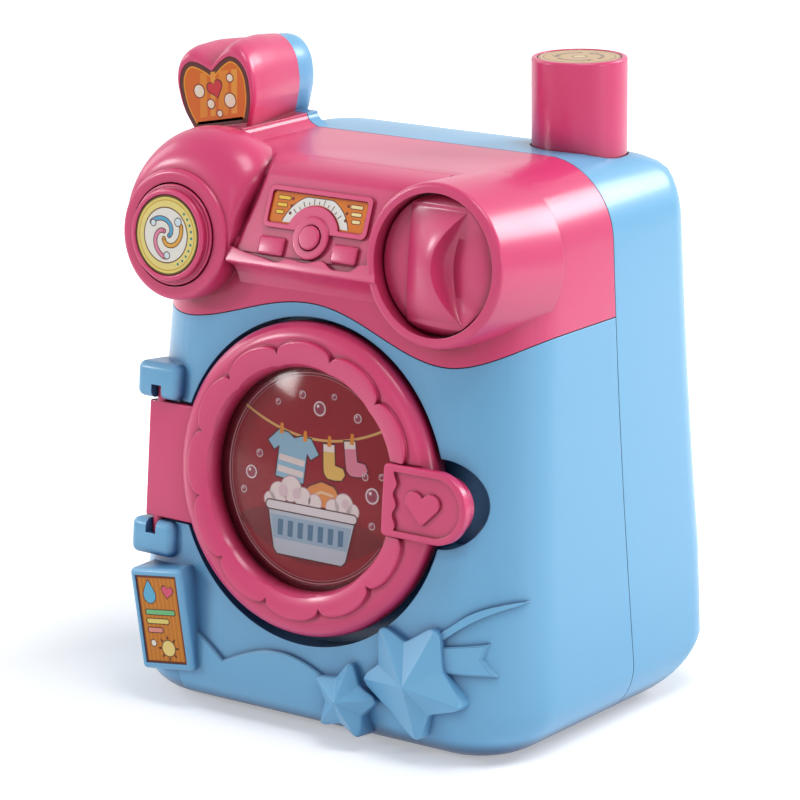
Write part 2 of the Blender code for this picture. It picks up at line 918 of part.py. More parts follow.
def box_frame():
    """The frame of the picture box: turned on the face, its front leaning further back."""
    slope = math.atan2(picture_box_top_proud - picture_box_bottom_proud, picture_box_height)
    middle = (picture_box_top_proud + picture_box_bottom_proud) / 2.0
    return (leaning(picture_box_x, picture_box_up, -middle)
            @ Matrix.Rotation(-picture_box_turn, 4, "Y") @ Matrix.Rotation(slope, 4, "X"))


def picture_box(grow):
    half = picture_box_width / 2.0 + grow
    tall = picture_box_height / 2.0 + grow
    deep = picture_box_back_depth + picture_box_top_proud
    return box((-half, -grow, -tall), (half, deep, tall), box_frame(), picture_box_round)


def star(x, up, radius, inner, turn):
    """A raised star: flat-tipped outline, upright sides and five sloping facets to the middle."""
    outline = []
    for k in range(5):
        angle = turn + 2.0 * math.pi * k / 5.0
        across = math.atan2(star_tip_half_width, radius)
        outline.append((radius * math.cos(angle - across), radius * math.sin(angle - across)))
        outline.append((radius * math.cos(angle + across), radius * math.sin(angle + across)))
        angle += math.pi / 5.0
        outline.append((inner * math.cos(angle), inner * math.sin(angle)))
    back = [(a, star_point_depth, b) for a, b in outline]
    edge = [(a, -star_side_proud, b) for a, b in outline]
    return solid("star", [back, edge, [(0.0, -star_apex_proud, 0.0)]], leaning(x, up))


def relief(outline, matrix):
    """An outline on the face, raised a little above the body's skin."""
    band = prism(outline, -overrun, front_corner_radius, matrix)
    return keep(band, body_solid(relief_raise))


def ribbon(shares):
    outline = [(across * ribbon_reach, up * ribbon_rise) for across, up in shares]
    return relief(outline, leaning(big_star_x, big_star_up))


upper_ribbon_shares = (
    (0.10, 0.20), (0.36, 0.49), (0.54, 0.66), (0.70, 0.79), (0.84, 0.88), (0.96, 0.94), (1.00, 1.00),
    (0.77, 0.93), (0.59, 0.83), (0.42, 0.66), (0.24, 0.50),
)
lower_ribbon_shares = (
    (0.10, 0.00), (0.36, 0.125), (0.85, 0.14), (0.73, 0.33), (0.77, 0.51), (0.33, 0.42), (0.10, 0.40),
)


def cloud():
    """A low bank below a line of two humps, from the picture box to the small star."""
    steps = 8
    line = []
    for i in range(steps + 1):
        share = i / steps
        x = cloud_left_x + (cloud_cusp_x - cloud_left_x) * share
        line.append((x, cloud_cusp_up + cloud_left_rise * math.cos(math.pi / 2.0 * share)))
    for i in range(1, steps + 1):
        share = i / steps
        x = cloud_cusp_x + (cloud_right_x - cloud_cusp_x) * share
        line.append((x, cloud_cusp_up + cloud_hump_rise * math.sin(math.pi * share)))
    foot = -door_centre_height + base_edge_radius / 4.0
    outline = [(cloud_left_x, foot), (cloud_right_x, foot)] + list(reversed(line))
    return relief(outline, leaning(0.0, 0.0))


def bracket_cuts(low, high, upper):
    radius = hinge_pin_radius + gap
    reach = hinge_pin_reach + gap
    start = low - overrun / 4.0 if upper else high - reach
    end = low + reach if upper else high + overrun / 4.0
    frame = leaning(hinge_x, 0.0, hinge_depth) @ Matrix.Rotation(math.pi / 2.0, 4, "X")
    bore = cylinder(radius, start, end, frame, small_sides)
    slot_low = start if upper else high - bracket_slot_length
    slot_high = low + bracket_slot_length if upper else end
    slot = box((hinge_x - radius * 0.9, -overrun, slot_low), (hinge_x + radius * 0.9, hinge_depth, slot_high),
               leaning(0.0, 0.0))
    return bore, slot


def make_front_shell(made_of):
    shell = body_solid(0.0)
    upper_low = leaf_top + leaf_pocket_gap
    lower_low = leaf_bottom - leaf_pocket_gap - bracket_height
    for low in (upper_low, lower_low):
        add(shell, box((bracket_left_x, -bracket_front_proud, low),
                       (bracket_right_x, bracket_back_depth, low + bracket_height),
                       leaning(0.0, 0.0), bracket_round, 3))
    add(shell, picture_box(0.0))
    add(shell, ribbon(upper_ribbon_shares), ribbon(lower_ribbon_shares), cloud())
    add(shell, star(big_star_x, big_star_up, big_star_radius, big_star_inner_radius, big_star_turn))
    add(shell, star(small_star_x, small_star_up, small_star_radius, small_star_inner_radius,
                    small_star_turn))
    cavity = body_solid(-wall)
    add(cavity, picture_box(-wall))
    cut(cavity, recess_cut(wall), finger_cut(wall), *hinge_cuts(wall), collar_cut(wall))
    cut(shell, cavity)
    for height in (low_boss_height, middle_boss_height):
        for side in (-1.0, 1.0):
            add(shell, front_boss(height, side))
            cut(shell, front_boss_hole(height, side))
    cut(shell, collar_cut(0.0), recess_cut(0.0), finger_cut(0.0))
    cut(shell, *bracket_cuts(upper_low, upper_low + bracket_height, True))
    cut(shell, *bracket_cuts(lower_low, lower_low + bracket_height, False))
    cut(shell, *hinge_cuts(0.0))
    half = picture_box_width / 2.0 - picture_rim
    tall = picture_box_height / 2.0 - picture_rim
    cut(shell, box((-half, -overrun, -tall), (half, picture_pocket, tall), box_frame()))
    keep(shell, seam_region(False))
    return finish(shell, "front_shell", made_of)


def make_picture_label(made_of):
    half = picture_box_width / 2.0 - picture_rim - label_gap
    tall = picture_box_height / 2.0 - picture_rim - label_gap
    near = picture_pocket - label_gap - picture_label_thickness
    label = box((-half, near, -tall), (half, near + picture_label_thickness, tall), box_frame())
    return finish(label, "picture_label", made_of)


def start_pocket(grow):
    return cylinder(start_button_radius + gap + grow, -overrun, start_pocket_depth + grow * start_floor / wall,
                    on_panel(start_x, start_up), 20)


def dial_bore(grow):
    depth = dial_bore_depth - dial_pod_proud
    return cylinder(dial_bore_radius + grow, -overrun - dial_pod_proud, depth + grow,
                    leaning(dial_x, dial_up), round_sides)


def button_bore(grow):
    depth = button_bore_depth - button_pod_proud
    return cylinder(button_bore_radius + grow, -overrun - button_pod_proud, depth + grow,
                    leaning(button_x, button_up), round_sides)


def badge_outline(grow):
    """The heart badge in the heart's own frame, with its tip cut off straight."""
    full = heart_outline(badge_share, badge_share, badge_top_share, 0.0)
    points = [(x, z - badge_drop) for x, z in full]
    floor = -badge_cut_drop - badge_drop
    upper = [(x, z) for x, z in points if z > floor]
    edge = 0.0
    for (x0, z0), (x1, z1) in zip(points, points[1:] + points[:1]):
        if (z0 - floor) * (z1 - floor) < 0.0:
            edge = max(edge, abs(x0 + (x1 - x0) * (floor - z0) / (z1 - z0)))
    right = [point for point in upper if point[0] > 0.0]
    left = [point for point in upper if point[0] < 0.0]
    notch = [point for point in upper if point[0] == 0.0]
    outline = [(-edge, floor), (edge, floor)] + right + notch + left
    return offset_outline(outline, grow)


def make_hood(made_of):
    hood = body_solid(0.0)
    add(hood, console_solid(0.0), dial_pod(0.0), bulb(0.0), button_pod(0.0))
    add(hood, heart_solid(0.0, False), heart_foot(False))
    panel = on_panel(0.0, 0.0)
    sunk = wall / 2.0
    bezel = rounded_rectangle(bezel_width, bezel_height, bezel_corner, (bezel_centre_x, bezel_centre_up))
    add(hood, prism(bezel, -bezel_raise, sunk, panel))
    add(hood, cylinder(start_ring_radius, -start_ring_raise, sunk, on_panel(start_x, start_up), 24))
    for x, up in ((left_key_x, left_key_up), (right_key_x, right_key_up)):
        add(hood, box((-key_width / 2.0, -key_raise, -key_height / 2.0),
                      (key_width / 2.0, sunk, key_height / 2.0), on_panel(x, up), key_round))
    cavity = body_solid(-wall)
    add(cavity, console_solid(-wall), dial_pod(-wall), bulb(-wall), heart_solid(-wall, False))
    cut(cavity, dial_bore(wall), button_bore(wall), start_pocket(wall))
    cut(hood, cavity)
    for side in (-1.0, 1.0):
        add(hood, front_boss(top_boss_height(), side))
        cut(hood, front_boss_hole(top_boss_height(), side))
    cut(hood, dial_bore(0.0), button_bore(0.0), start_pocket(0.0))
    cut(hood, cylinder(dial_shaft_radius + gap, -overrun, overrun, leaning(dial_x, dial_up)))
    cut(hood, cylinder(button_stem_radius + gap, -overrun, overrun, leaning(button_x, button_up)))
    stem = cylinder(start_stem_radius + gap, -overrun, overrun + start_pocket_depth,
                    on_panel(start_x, start_up))
    cut(hood, stem)
    pocket = prism(display_outline(0.0), -overrun / 2.0, display_pocket_depth - bezel_raise, panel)
    cut(hood, pocket)
    badge = prism(badge_outline(label_gap), heart_front_depth - overrun / 2.0,
                  heart_front_depth + badge_pocket, heart_frame(0.0))
    cut(hood, badge)
    keep(hood, seam_region(True))
    post = click_post()
    add(hood, post)
    return finish(hood, "top_hood", made_of)


def make_display_label(made_of):
    back = display_pocket_depth - bezel_raise - label_gap
    label = prism(display_outline(-label_gap), back - display_label_thickness, back, on_panel(0.0, 0.0))
    return finish(label, "display_label", made_of)


def make_heart_badge(made_of):
    back = heart_front_depth + badge_pocket - label_gap
    badge = prism(badge_outline(0.0), back - badge_thickness, back, heart_frame(0.0))
    return finish(badge, "heart_badge", made_of)


def rear_boss(height, side):
    start = parting_y - face_y
    end = back_at(height) - face_y
    boss = cylinder(boss_radius, start, end, boss_place(height, side))
    keep(boss, body_solid(-wall * (1.0 - rib_sink_share)))
    return add(boss, rib(height, side, start, end - rear_corner_radius - wall))


def rear_boss_cuts(height, side):
    near = parting_y - face_y
    seat = near + head_seat_depth
    hole = cylinder(screw_hole_radius, near - overrun, seat + gap, boss_place(height, side), 10)
    well = cylinder(head_well_radius, seat, back_at(height) - face_y + overrun, boss_place(height, side))
    return hole, well


def plate_screw_places():
    """Places of the gear plate's screws, in X and height above the drum's axis."""
    centre_x, centre_up = idler_centre()
    left = -drum_gear_radius() - 2.0 * gear_plate_margin + gear_plate_margin / 2.0
    low = -drum_gear_radius() - gear_plate_margin
    right = rack_back_x + 2.0 * gear_plate_margin - gear_plate_margin / 2.0
    high = centre_up + wheel_radius() - gear_plate_margin
    return ((left, centre_up / 2.0), (centre_x / 2.0, low), (right, centre_up), (left / 2.0 + gear_plate_margin, high))


def drum_gear_radius():
    return gear_module * drum_gear_teeth / 2.0


def wheel_radius():
    return gear_module * wheel_teeth / 2.0


def pinion_radius():
    return gear_module * pinion_teeth / 2.0


def idler_centre():
    """The idler stands one pinion radius left of the rack and meshes with the drum's gear."""
    x = rack_pitch_x - pinion_radius()
    apart = drum_gear_radius() + wheel_radius()
    return x, math.sqrt(apart * apart - x * x)


def gear_start_depth():
    return drum_front_depth + drum_length + drum_hub_length + gap


def plate_depth():
    """The gear plate's front face, behind the drum gear, the wheel and the pinion."""
    return gear_start_depth() + wheel_thickness + pinion_length + gap + gap


def make_rear_shell(made_of):
    shell = body_solid(0.0)
    add(shell, heart_solid(0.0, True), heart_foot(True))
    cavity = body_solid(-wall)
    add(cavity, heart_solid(-wall, True))
    cut(shell, cavity)
    for height in boss_heights():
        for side in (-1.0, 1.0):
            add(shell, rear_boss(height, side))
    for height in boss_heights():
        for side in (-1.0, 1.0):
            cut(shell, *rear_boss_cuts(height, side))
    top = body_top - door_centre_height
    frame = upright(plunger_x, 0.0, plunger_depth) @ Matrix.Rotation(math.pi / 2.0, 4, "X")
    inner = plunger_radius + plunger_clearance
    low = top - guide_length - wall
    guide = cylinder(inner + guide_wall, low, top, frame, round_sides)
    add(shell, keep(guide, body_solid(-wall / 2.0)))
    cut(shell, cylinder(inner, low - overrun, top + overrun, frame, round_sides))
    start = plate_depth() + gear_plate_thickness + gap
    for x, up in plate_screw_places():
        end = back_at(door_centre_height + up) - face_y - wall / 2.0
        add(shell, cylinder(boss_radius, start, end, upright(x, up)))
        cut(shell, cylinder(screw_hole_radius, start - overrun, end - wall, upright(x, up), 10))
    keep(shell, box((-base_half_width - overrun, parting_y + gap / 2.0, -overrun),
                    (base_half_width + overrun, back_y_at_base + overrun, body_top + heart_lobe_height),
                    Matrix.Identity(4)))
    return finish(shell, "rear_shell", made_of)


def screw(name, matrix, head_radius, head_depth, length, made_of):
    """A pan-head screw that points along minus local Y, its head's seat at head_depth."""
    top = head_depth + screw_head_thickness
    body = turned(name, [(0.0, top), (head_radius - small_round, top),
                         (head_radius, top - small_round), (head_radius, head_depth),
                         (screw_radius, head_depth), (screw_radius, head_depth - length + screw_radius),
                         (0.0, head_depth - length)], matrix, 8)
    return finish(body, name, made_of)


def make_rear_screws(made_of):
    seat = parting_y + gap / 2.0 - face_y + head_seat_depth + gap
    names = ("low", "middle", "top")
    for word, height in zip(names, boss_heights()):
        for side_name, side in (("left", -1.0), ("right", 1.0)):
            screw(f"rear_screw_{word}_{side_name}", boss_place(height, side), screw_head_radius, seat,
                  head_seat_depth + screw_bite, made_of)


# Drum and its drive

def make_drum(made_of):
    start = drum_front_depth
    end = start + drum_length
    inner = drum_radius - thin_wall
    bore = shaft_radius + gap
    drum = turned("drum", [
        (bore, end - thin_wall), (inner, end - thin_wall), (inner, start + thin_wall),
        (drum_mouth_radius, start + thin_wall), (drum_mouth_radius, start), (drum_radius - small_round, start),
        (drum_radius, start + small_round), (drum_radius, end), (drum_hub_radius, end),
        (drum_hub_radius, end + drum_hub_length), (bore, end + drum_hub_length)], upright(0.0, 0.0), door_sides)
    for k in range(3):
        turn = Matrix.Rotation(2.0 * math.pi * k / 3.0, 4, "Y")
        foot = inner + thin_wall / 2.0
        crest = inner - paddle_height
        outline = [(-paddle_foot / 2.0, foot), (-paddle_top / 2.0, crest), (paddle_top / 2.0, crest),
                   (paddle_foot / 2.0, foot)]
        outline.reverse()
        add(drum, prism(outline, start + thin_wall / 2.0, end - thin_wall / 2.0, upright(0.0, 0.0) @ turn))
    step = drum_length / (drum_hole_rows + 1)
    bm = bmesh.new()
    for row in range(drum_hole_rows):
        for k in range(drum_holes_round):
            angle = 2.0 * math.pi * (k + 0.5) / drum_holes_round
            frame = (upright(0.0, 0.0, start + step * (row + 1)) @ Matrix.Rotation(angle, 4, "Y")
                     @ Matrix.Translation((0.0, 0.0, drum_radius)))
            bmesh.ops.create_cone(bm, cap_ends=True, segments=6, radius1=drum_hole_radius,
                                  radius2=drum_hole_radius, depth=4.0 * thin_wall, matrix=frame)
    cut(drum, as_object("holes", bm))
    finish(drum, "drum", made_of)
    return place_origin(drum, upright(0.0, 0.0).translation)


def involute_gear(name, teeth, start, end, matrix, turn, bore):
    """A spur gear with involute flanks, its teeth thinned for backlash."""
    pitch = gear_module * teeth / 2.0
    base = pitch * math.cos(pressure_angle)
    tip = pitch + gear_module * addendum_share
    root = pitch - gear_module * dedendum_share
    half = math.pi / teeth * tooth_thickness_share
    spread = math.tan(pressure_angle) - pressure_angle
    outline = []
    flank_steps = 1 if teeth > drum_gear_teeth else 2
    low = max(base, root)
    for k in range(teeth):
        middle = turn + 2.0 * math.pi * k / teeth
        flank = []
        for i in range(flank_steps + 1):
            radius = low + (tip - low) * i / flank_steps
            roll = math.sqrt(max(radius * radius / (base * base) - 1.0, 0.0))
            flank.append((radius, half + spread - (roll - math.atan(roll))))
        foot = flank[0][1] if root >= base else flank[0][1] + gear_module * 0.1 / pitch
        points = [(root, -foot)] + [(r, -a) for r, a in flank] + [(r, a) for r, a in reversed(flank)]
        points.append((root, foot))
        for radius, angle in points:
            outline.append((radius * math.cos(middle + angle), radius * math.sin(middle + angle)))
    near = [(x, start, z) for x, z in outline]
    far = [(x, end, z) for x, z in outline]
    gear = solid(name, [near, far], matrix)
    cut(gear, cylinder(bore, start - overrun, end + overrun, matrix))
    return gear


def mesh_turn():
    """The angle from the drum's centre to the idler's."""
    x, up = idler_centre()
    return math.atan2(up, x)


def make_drum_gear(made_of):
    start = gear_start_depth()
    gear = involute_gear("drum_gear", drum_gear_teeth, start, start + drum_gear_thickness,
                         upright(0.0, 0.0), mesh_turn(), shaft_radius + gap)
    finish(gear, "drum_gear", made_of)
    return place_origin(gear, upright(0.0, 0.0).translation)


def make_idler(made_of):
    x, up = idler_centre()
    start = gear_start_depth()
    gap_turn = mesh_turn() + math.pi + math.pi / wheel_teeth
    wheel = involute_gear("idler_gear", wheel_teeth, start, start + wheel_thickness, upright(x, up),
                          gap_turn, shaft_radius + gap)
    pinion = involute_gear("pinion", pinion_teeth, start + wheel_thickness / 2.0,
                           start + wheel_thickness + pinion_length, upright(x, up),
                           0.0, shaft_radius + gap)
    add(wheel, pinion)
    finish(wheel, "idler_gear", made_of)
    return place_origin(wheel, upright(x, up).translation)


def pin(name, matrix, head_start, end, made_of):
    body = turned(name, [(0.0, head_start), (shaft_head_radius - small_round, head_start),
                         (shaft_head_radius, head_start + small_round),
                         (shaft_head_radius, head_start + shaft_head_thickness),
                         (shaft_radius, head_start + shaft_head_thickness), (shaft_radius, end), (0.0, end)],
                  matrix, small_sides)
    return finish(body, name, made_of)


def make_shafts(steel):
    end = plate_depth() + gear_plate_thickness + shaft_tail
    drum_head = drum_front_depth + drum_length - thin_wall - gap - shaft_head_thickness
    pin("drum_shaft", upright(0.0, 0.0), drum_head, end, steel)
    x, up = idler_centre()
    idler_head = gear_start_depth() - gap - shaft_head_thickness
    pin("idler_pin", upright(x, up), idler_head, end, steel)
    clip_start = plate_depth() + gear_plate_thickness + gap
    for name, px, pup in (("drum_shaft_clip", 0.0, 0.0), ("idler_pin_clip", x, up)):
        clip = turned(name, [(shaft_radius + gap, clip_start), (shaft_head_radius, clip_start),
                             (shaft_head_radius, clip_start + clip_thickness),
                             (shaft_radius + gap, clip_start + clip_thickness)], upright(px, pup), small_sides)
        finish(clip, name, steel)


def make_gear_plate(made_of):
    places = plate_screw_places()
    start = plate_depth()
    end = start + gear_plate_thickness
    (ax, az), (bx, bz), (cx, cz), (dx, dz) = places
    m = gear_plate_margin
    seat_left = plunger_x - seat_half_width
    seat_right = plunger_x + seat_half_width
    neck = boss_place(top_boss_height(), 1.0).translation.x - boss_radius - gap - gap
    outline = [(ax - m, az - m), (bx - m, bz - m), (bx + m, bz - m), (cx + m, cz - m), (cx + m, cz + m),
               (neck, dz - m), (neck, seat_height), (seat_left, seat_height), (dx + m, dz + m),
               (dx - m, dz + m), (ax - m, az + m)]
    plate = prism(outline, start, end, upright(0.0, 0.0))
    seat = box((seat_left, plunger_depth - seat_half_width, seat_height - seat_thickness),
               (seat_right, plunger_depth + seat_half_width, seat_height), upright(0.0, 0.0))
    add(plate, seat)
    slot_gap = gap + gap
    x, up = idler_centre()
    guide = box((rack_back_x + slot_gap, plunger_depth - rack_width / 2.0, up - pinion_radius()),
                (rack_back_x + slot_gap + gear_plate_thickness, end - small_round, up + pinion_radius()),
                upright(0.0, 0.0))
    add(plate, guide)
    addendum = gear_module * addendum_share
    slot = box((rack_pitch_x - addendum - slot_gap, plunger_depth - rack_width / 2.0 - slot_gap,
                seat_height - overrun), (rack_back_x + slot_gap, plunger_depth + rack_width / 2.0 + slot_gap,
                                         seat_height + overrun), upright(0.0, 0.0))
    cut(plate, slot)
    cut(plate, cylinder(shaft_radius + gap, start - overrun, end + overrun, upright(0.0, 0.0)))
    cut(plate, cylinder(shaft_radius + gap, start - overrun, end + overrun, upright(x, up)))
    for px, pup in places:
        cut(plate, cylinder(screw_hole_radius, start - overrun, end + overrun, upright(px, pup)))
    return finish(plate, "gear_plate", made_of)


def make_plate_screws(made_of):
    face = plate_depth() - gap
    for number, (x, up) in enumerate(plate_screw_places(), start=1):
        turned_round = upright(x, up, face) @ Matrix.Rotation(math.pi, 4, "Z")
        screw(f"plate_screw_{number}", turned_round, plate_screw_head_radius, 0.0,
              gear_plate_thickness + screw_bite / 2.0, made_of)


def make_plunger(made_of):
    frame = upright(plunger_x, 0.0, plunger_depth) @ Matrix.Rotation(math.pi / 2.0, 4, "X")
    inner = plunger_radius - thin_wall
    top = plunger_top_height
    low = plunger_bottom_height
    rim = plunger_label_radius + gap
    cap = turned("plunger", [
        (0.0, top - plunger_label_pocket), (rim, top - plunger_label_pocket), (rim, top - small_round),
        (rim + small_round, top), (plunger_radius - small_round, top), (plunger_radius, top - small_round),
        (plunger_radius, low + plunger_lip_thickness), (plunger_lip_radius, low + plunger_lip_thickness),
        (plunger_lip_radius, low), (inner, low), (inner, top - plunger_top_wall - plunger_label_pocket),
        (0.0, top - plunger_top_wall - plunger_label_pocket)], frame)
    finish(cap, "plunger", made_of)
    return place_origin(cap, frame.translation)


def make_plunger_label(made_of):
    frame = upright(plunger_x, 0.0, plunger_depth) @ Matrix.Rotation(math.pi / 2.0, 4, "X")
    low = plunger_top_height - plunger_label_pocket + label_gap
    label = cylinder(plunger_label_radius, low, low + plunger_label_thickness, frame, round_sides)
    finish(label, "plunger_label", made_of)
    return place_origin(label, frame.translation)


def make_rack(made_of):
    """The rack's stem hangs from a round foot under the plunger's top. Its teeth face the idler."""
    top = plunger_top_height - plunger_top_wall - plunger_label_pocket - gap
    pitch = math.pi * gear_module
    addendum = gear_module * addendum_share
    dedendum = gear_module * dedendum_share
    half_tooth = pitch / 2.0 * tooth_thickness_share
    slope = math.tan(pressure_angle)
    x, up = idler_centre()
    first = up - pitch / 2.0 - pitch * round((up - pitch / 2.0 - rack_low_height) / pitch - 0.5)
    root_x = rack_pitch_x + dedendum
    outline = [(rack_back_x, top), (root_x, top)]
    for k in reversed(range(rack_teeth)):
        middle = first + pitch * k
        outline += [(root_x, middle + half_tooth + dedendum * slope),
                    (rack_pitch_x - addendum, middle + half_tooth - addendum * slope),
                    (rack_pitch_x - addendum, middle - half_tooth + addendum * slope),
                    (root_x, middle - half_tooth - dedendum * slope)]
    outline += [(root_x, first - pitch / 2.0), (rack_back_x, first - pitch / 2.0)]
    outline.reverse()
    rack = prism(outline, plunger_depth - rack_width / 2.0, plunger_depth + rack_width / 2.0,
                 upright(0.0, 0.0))
    frame = upright(plunger_x, 0.0, plunger_depth) @ Matrix.Rotation(math.pi / 2.0, 4, "X")
    add(rack, cylinder(rack_foot_radius, top - rack_foot_thickness, top + small_round, frame))
    cut(rack, box((plunger_x - plunger_radius, plunger_depth - plunger_radius, top),
                  (plunger_x + plunger_radius, plunger_depth + plunger_radius, top + overrun),
                  upright(0.0, 0.0)))
    finish(rack, "rack", made_of)
    return place_origin(rack, frame.translation)


def coil(name, radius, wire, turns, start, end, matrix, made_of, sides=4, steps=8):
    """An open coil spring from start to end along local Y."""
    count = turns * steps + 1
    low = start + wire / 2.0
    high = end - wire / 2.0
    slope = (high - low) / (2.0 * math.pi * turns * radius)
    rings = []
    for i in range(count):
        angle = 2.0 * math.pi * i / steps
        outward = Vector((math.cos(angle), 0.0, math.sin(angle)))
        along = Vector((-math.sin(angle), slope, math.cos(angle))).normalized()
        across = along.cross(outward)
        middle = outward * radius + Vector((0.0, low + (high - low) * i / (count - 1), 0.0))
        ring = []
        for k in range(sides):
            turn = 2.0 * math.pi * k / sides
            ring.append(middle + (outward * math.cos(turn) + across * math.sin(turn)) * (wire / 2.0))
        rings.append(ring)
    spring = solid(name, rings, matrix)
    finish(spring, name, made_of, angle=math.radians(70.0))
    return place_origin(spring, matrix.translation)


def make_plunger_spring(steel):
    frame = upright(plunger_x, 0.0, plunger_depth) @ Matrix.Rotation(math.pi / 2.0, 4, "X")
    top = plunger_top_height - plunger_top_wall - plunger_label_pocket - gap
    return coil("plunger_spring", plunger_spring_radius, plunger_spring_wire, plunger_spring_turns,
                seat_height + gap, top, frame, steel)


# Door

def ring_front(radius):
    """The door ring's front surface: how far it stands proud at a radius, before the scallops."""
    if radius >= ring_crest_radius:
        share = (radius - ring_crest_radius) / (door_radius - ring_crest_radius)
        return ring_crest_proud * math.sqrt(max(1.0 - share * share, 0.0))
    share = (ring_crest_radius - radius) / (ring_crest_radius - window_radius)
    return ring_rim_proud + (ring_crest_proud - ring_rim_proud) * math.sqrt(max(1.0 - share * share, 0.0))


def scallop_radius(angle):
    """Twelve lobes with sharp cusps between them."""
    phase = (angle / (2.0 * math.pi) * scallop_lobes + 0.5) % 1.0
    across = 2.0 * phase - 1.0
    return scallop_cusp_radius + scallop_depth * math.sqrt(max(1.0 - across * across, 0.0))


def ring_section(angle):
    """The section's points of radius and depth at an angle."""
    edge = scallop_radius(angle)
    outside = [share * (door_radius - edge - scallop_slope) + edge + scallop_slope
               for share in (0.0, 0.5, 0.85)]
    inside = [window_radius + (edge - window_radius) * share for share in (0.05, 0.45, 1.0)]
    points = [(window_radius, -ring_rim_proud + small_round)]
    points += [(radius, -ring_front(radius) - scallop_raise) for radius in inside]
    points += [(radius, -ring_front(radius)) for radius in outside]
    points += [(door_radius, 0.0), (door_radius - small_round, ring_back_depth / 2.0),
               (door_radius - ring_back_depth / 3.0, ring_back_depth),
               (window_seat_radius, ring_back_depth), (window_seat_radius, window_seat_depth),
               (window_radius, window_seat_depth)]
    return points


def handle_outline(grow):
    """A square-backed D: straight on the left, half round on the right."""
    radius = handle_half_height + grow
    centre = handle_tip_x - handle_half_height
    left = handle_left_x - grow
    return [(left, radius), (left, -radius)] + arc((centre, 0.0), radius, -math.pi / 2.0, math.pi / 2.0, 12)


def make_door_ring(made_of):
    sides = scallop_lobes * 5
    sections = []
    for i in range(sides):
        angle = 2.0 * math.pi * i / sides
        sections.append([(radius * math.cos(angle), depth, radius * math.sin(angle))
                         for radius, depth in ring_section(angle)])
    ring = solid("door_ring", sections, leaning(0.0, 0.0), closed_tube=True)
    leaf = box((leaf_left_x, -leaf_front_proud, leaf_bottom),
               (leaf_right_x, leaf_thickness - leaf_front_proud, leaf_top), leaning(0.0, 0.0), small_round)
    add(ring, leaf)
    frame = leaning(hinge_x, 0.0, hinge_depth) @ Matrix.Rotation(math.pi / 2.0, 4, "X")
    low = leaf_bottom - hinge_pin_reach
    high = leaf_top + hinge_pin_reach
    add(ring, cylinder(hinge_pin_radius, low, high, frame))
    plate = prism(handle_outline(gap), -overrun, -handle_proud + handle_plate_thickness + gap,
                  leaning(0.0, 0.0))
    cut(ring, plate)
    stub = handle_stub(gap)
    cut(ring, stub)
    finish(ring, "door_ring", made_of)
    place_origin(ring, leaning(hinge_x, 0.0, hinge_depth).translation)
    return ring


def handle_stub(grow):
    """The handle's body behind its plate, cut to the D outline."""
    centre = handle_tip_x - handle_half_height
    radius = handle_half_height - handle_rim + grow
    outline = [(handle_body_left_x - grow, radius), (handle_body_left_x - grow, -radius)]
    outline += arc((centre, 0.0), radius, -math.pi / 2.0, math.pi / 2.0, 12)
    return prism(outline, -handle_proud + handle_plate_thickness / 2.0, handle_body_depth + grow,
                 leaning(0.0, 0.0))


def make_door_handle(made_of):
    handle = prism(handle_outline(0.0), -handle_proud, -handle_proud + handle_plate_thickness,
                   leaning(0.0, 0.0))
    add(handle, handle_stub(0.0))
    dish = prism(handle_outline(-handle_rim), -handle_proud - overrun, -handle_proud + handle_dish,
                 leaning(0.0, 0.0))
    cut(handle, dish)
    share = handle_heart_half_width / heart_half_width
    centre = handle_tip_x - handle_half_height - handle_rim / 2.0
    outline = heart_outline(share, share, badge_top_share, 0.0)
    heart = prism([(centre + x, z + heart_lower_drop * share / 3.0) for x, z in outline],
                  -handle_proud, -handle_proud + handle_plate_thickness / 2.0, leaning(0.0, 0.0))
    add(handle, heart)
    finish(handle, "door_handle", made_of)
    place_origin(handle, leaning(hinge_x, 0.0, hinge_depth).translation)
    return handle


def make_window(made_of):
    """A clear dome with a flange that sits in the ring's rebate."""
    flange = window_seat_radius - gap
    neck = window_radius - gap
    near = window_seat_depth + gap
    steps = 4
    outer = []
    inner = []
    for i in range(steps + 1):
        share = i / steps
        bulge = 1.0 - share * share
        outer.append((neck * share, -ring_rim_proud / 2.0 - dome_rise * bulge))
        inner.append(((neck - dome_wall) * share, -ring_rim_proud / 2.0 + dome_wall - dome_rise * bulge))
    profile = outer + [(neck, near), (flange, near), (flange, near + dome_flange_thickness),
                       (neck - dome_wall, near + dome_flange_thickness)]
    profile += list(reversed(inner))
    dome = turned("door_window", profile, leaning(0.0, 0.0), door_sides)
    finish(dome, "door_window", made_of)
    place_origin(dome, leaning(hinge_x, 0.0, hinge_depth).translation)
    return dome


def film_depth():
    return window_seat_depth + gap + dome_flange_thickness + label_gap


def make_film(made_of):
    start = film_depth()
    film = cylinder(window_seat_radius - gap, start, start + film_thickness, leaning(0.0, 0.0), door_sides)
    finish(film, "window_picture", made_of)
    place_origin(film, leaning(hinge_x, 0.0, hinge_depth).translation)
    return film


def make_retainer(made_of):
    start = film_depth() + film_thickness + label_gap
    outer = window_seat_radius - gap
    end = start + retainer_thickness
    ring = turned("window_retainer", [(retainer_inner_radius, start), (outer, start), (outer, end - small_round),
                                      (outer - small_round, end), (retainer_inner_radius, end)],
                  leaning(0.0, 0.0), door_sides)
    finish(ring, "window_retainer", made_of)
    place_origin(ring, leaning(hinge_x, 0.0, hinge_depth).translation)
    return ring


# Dial

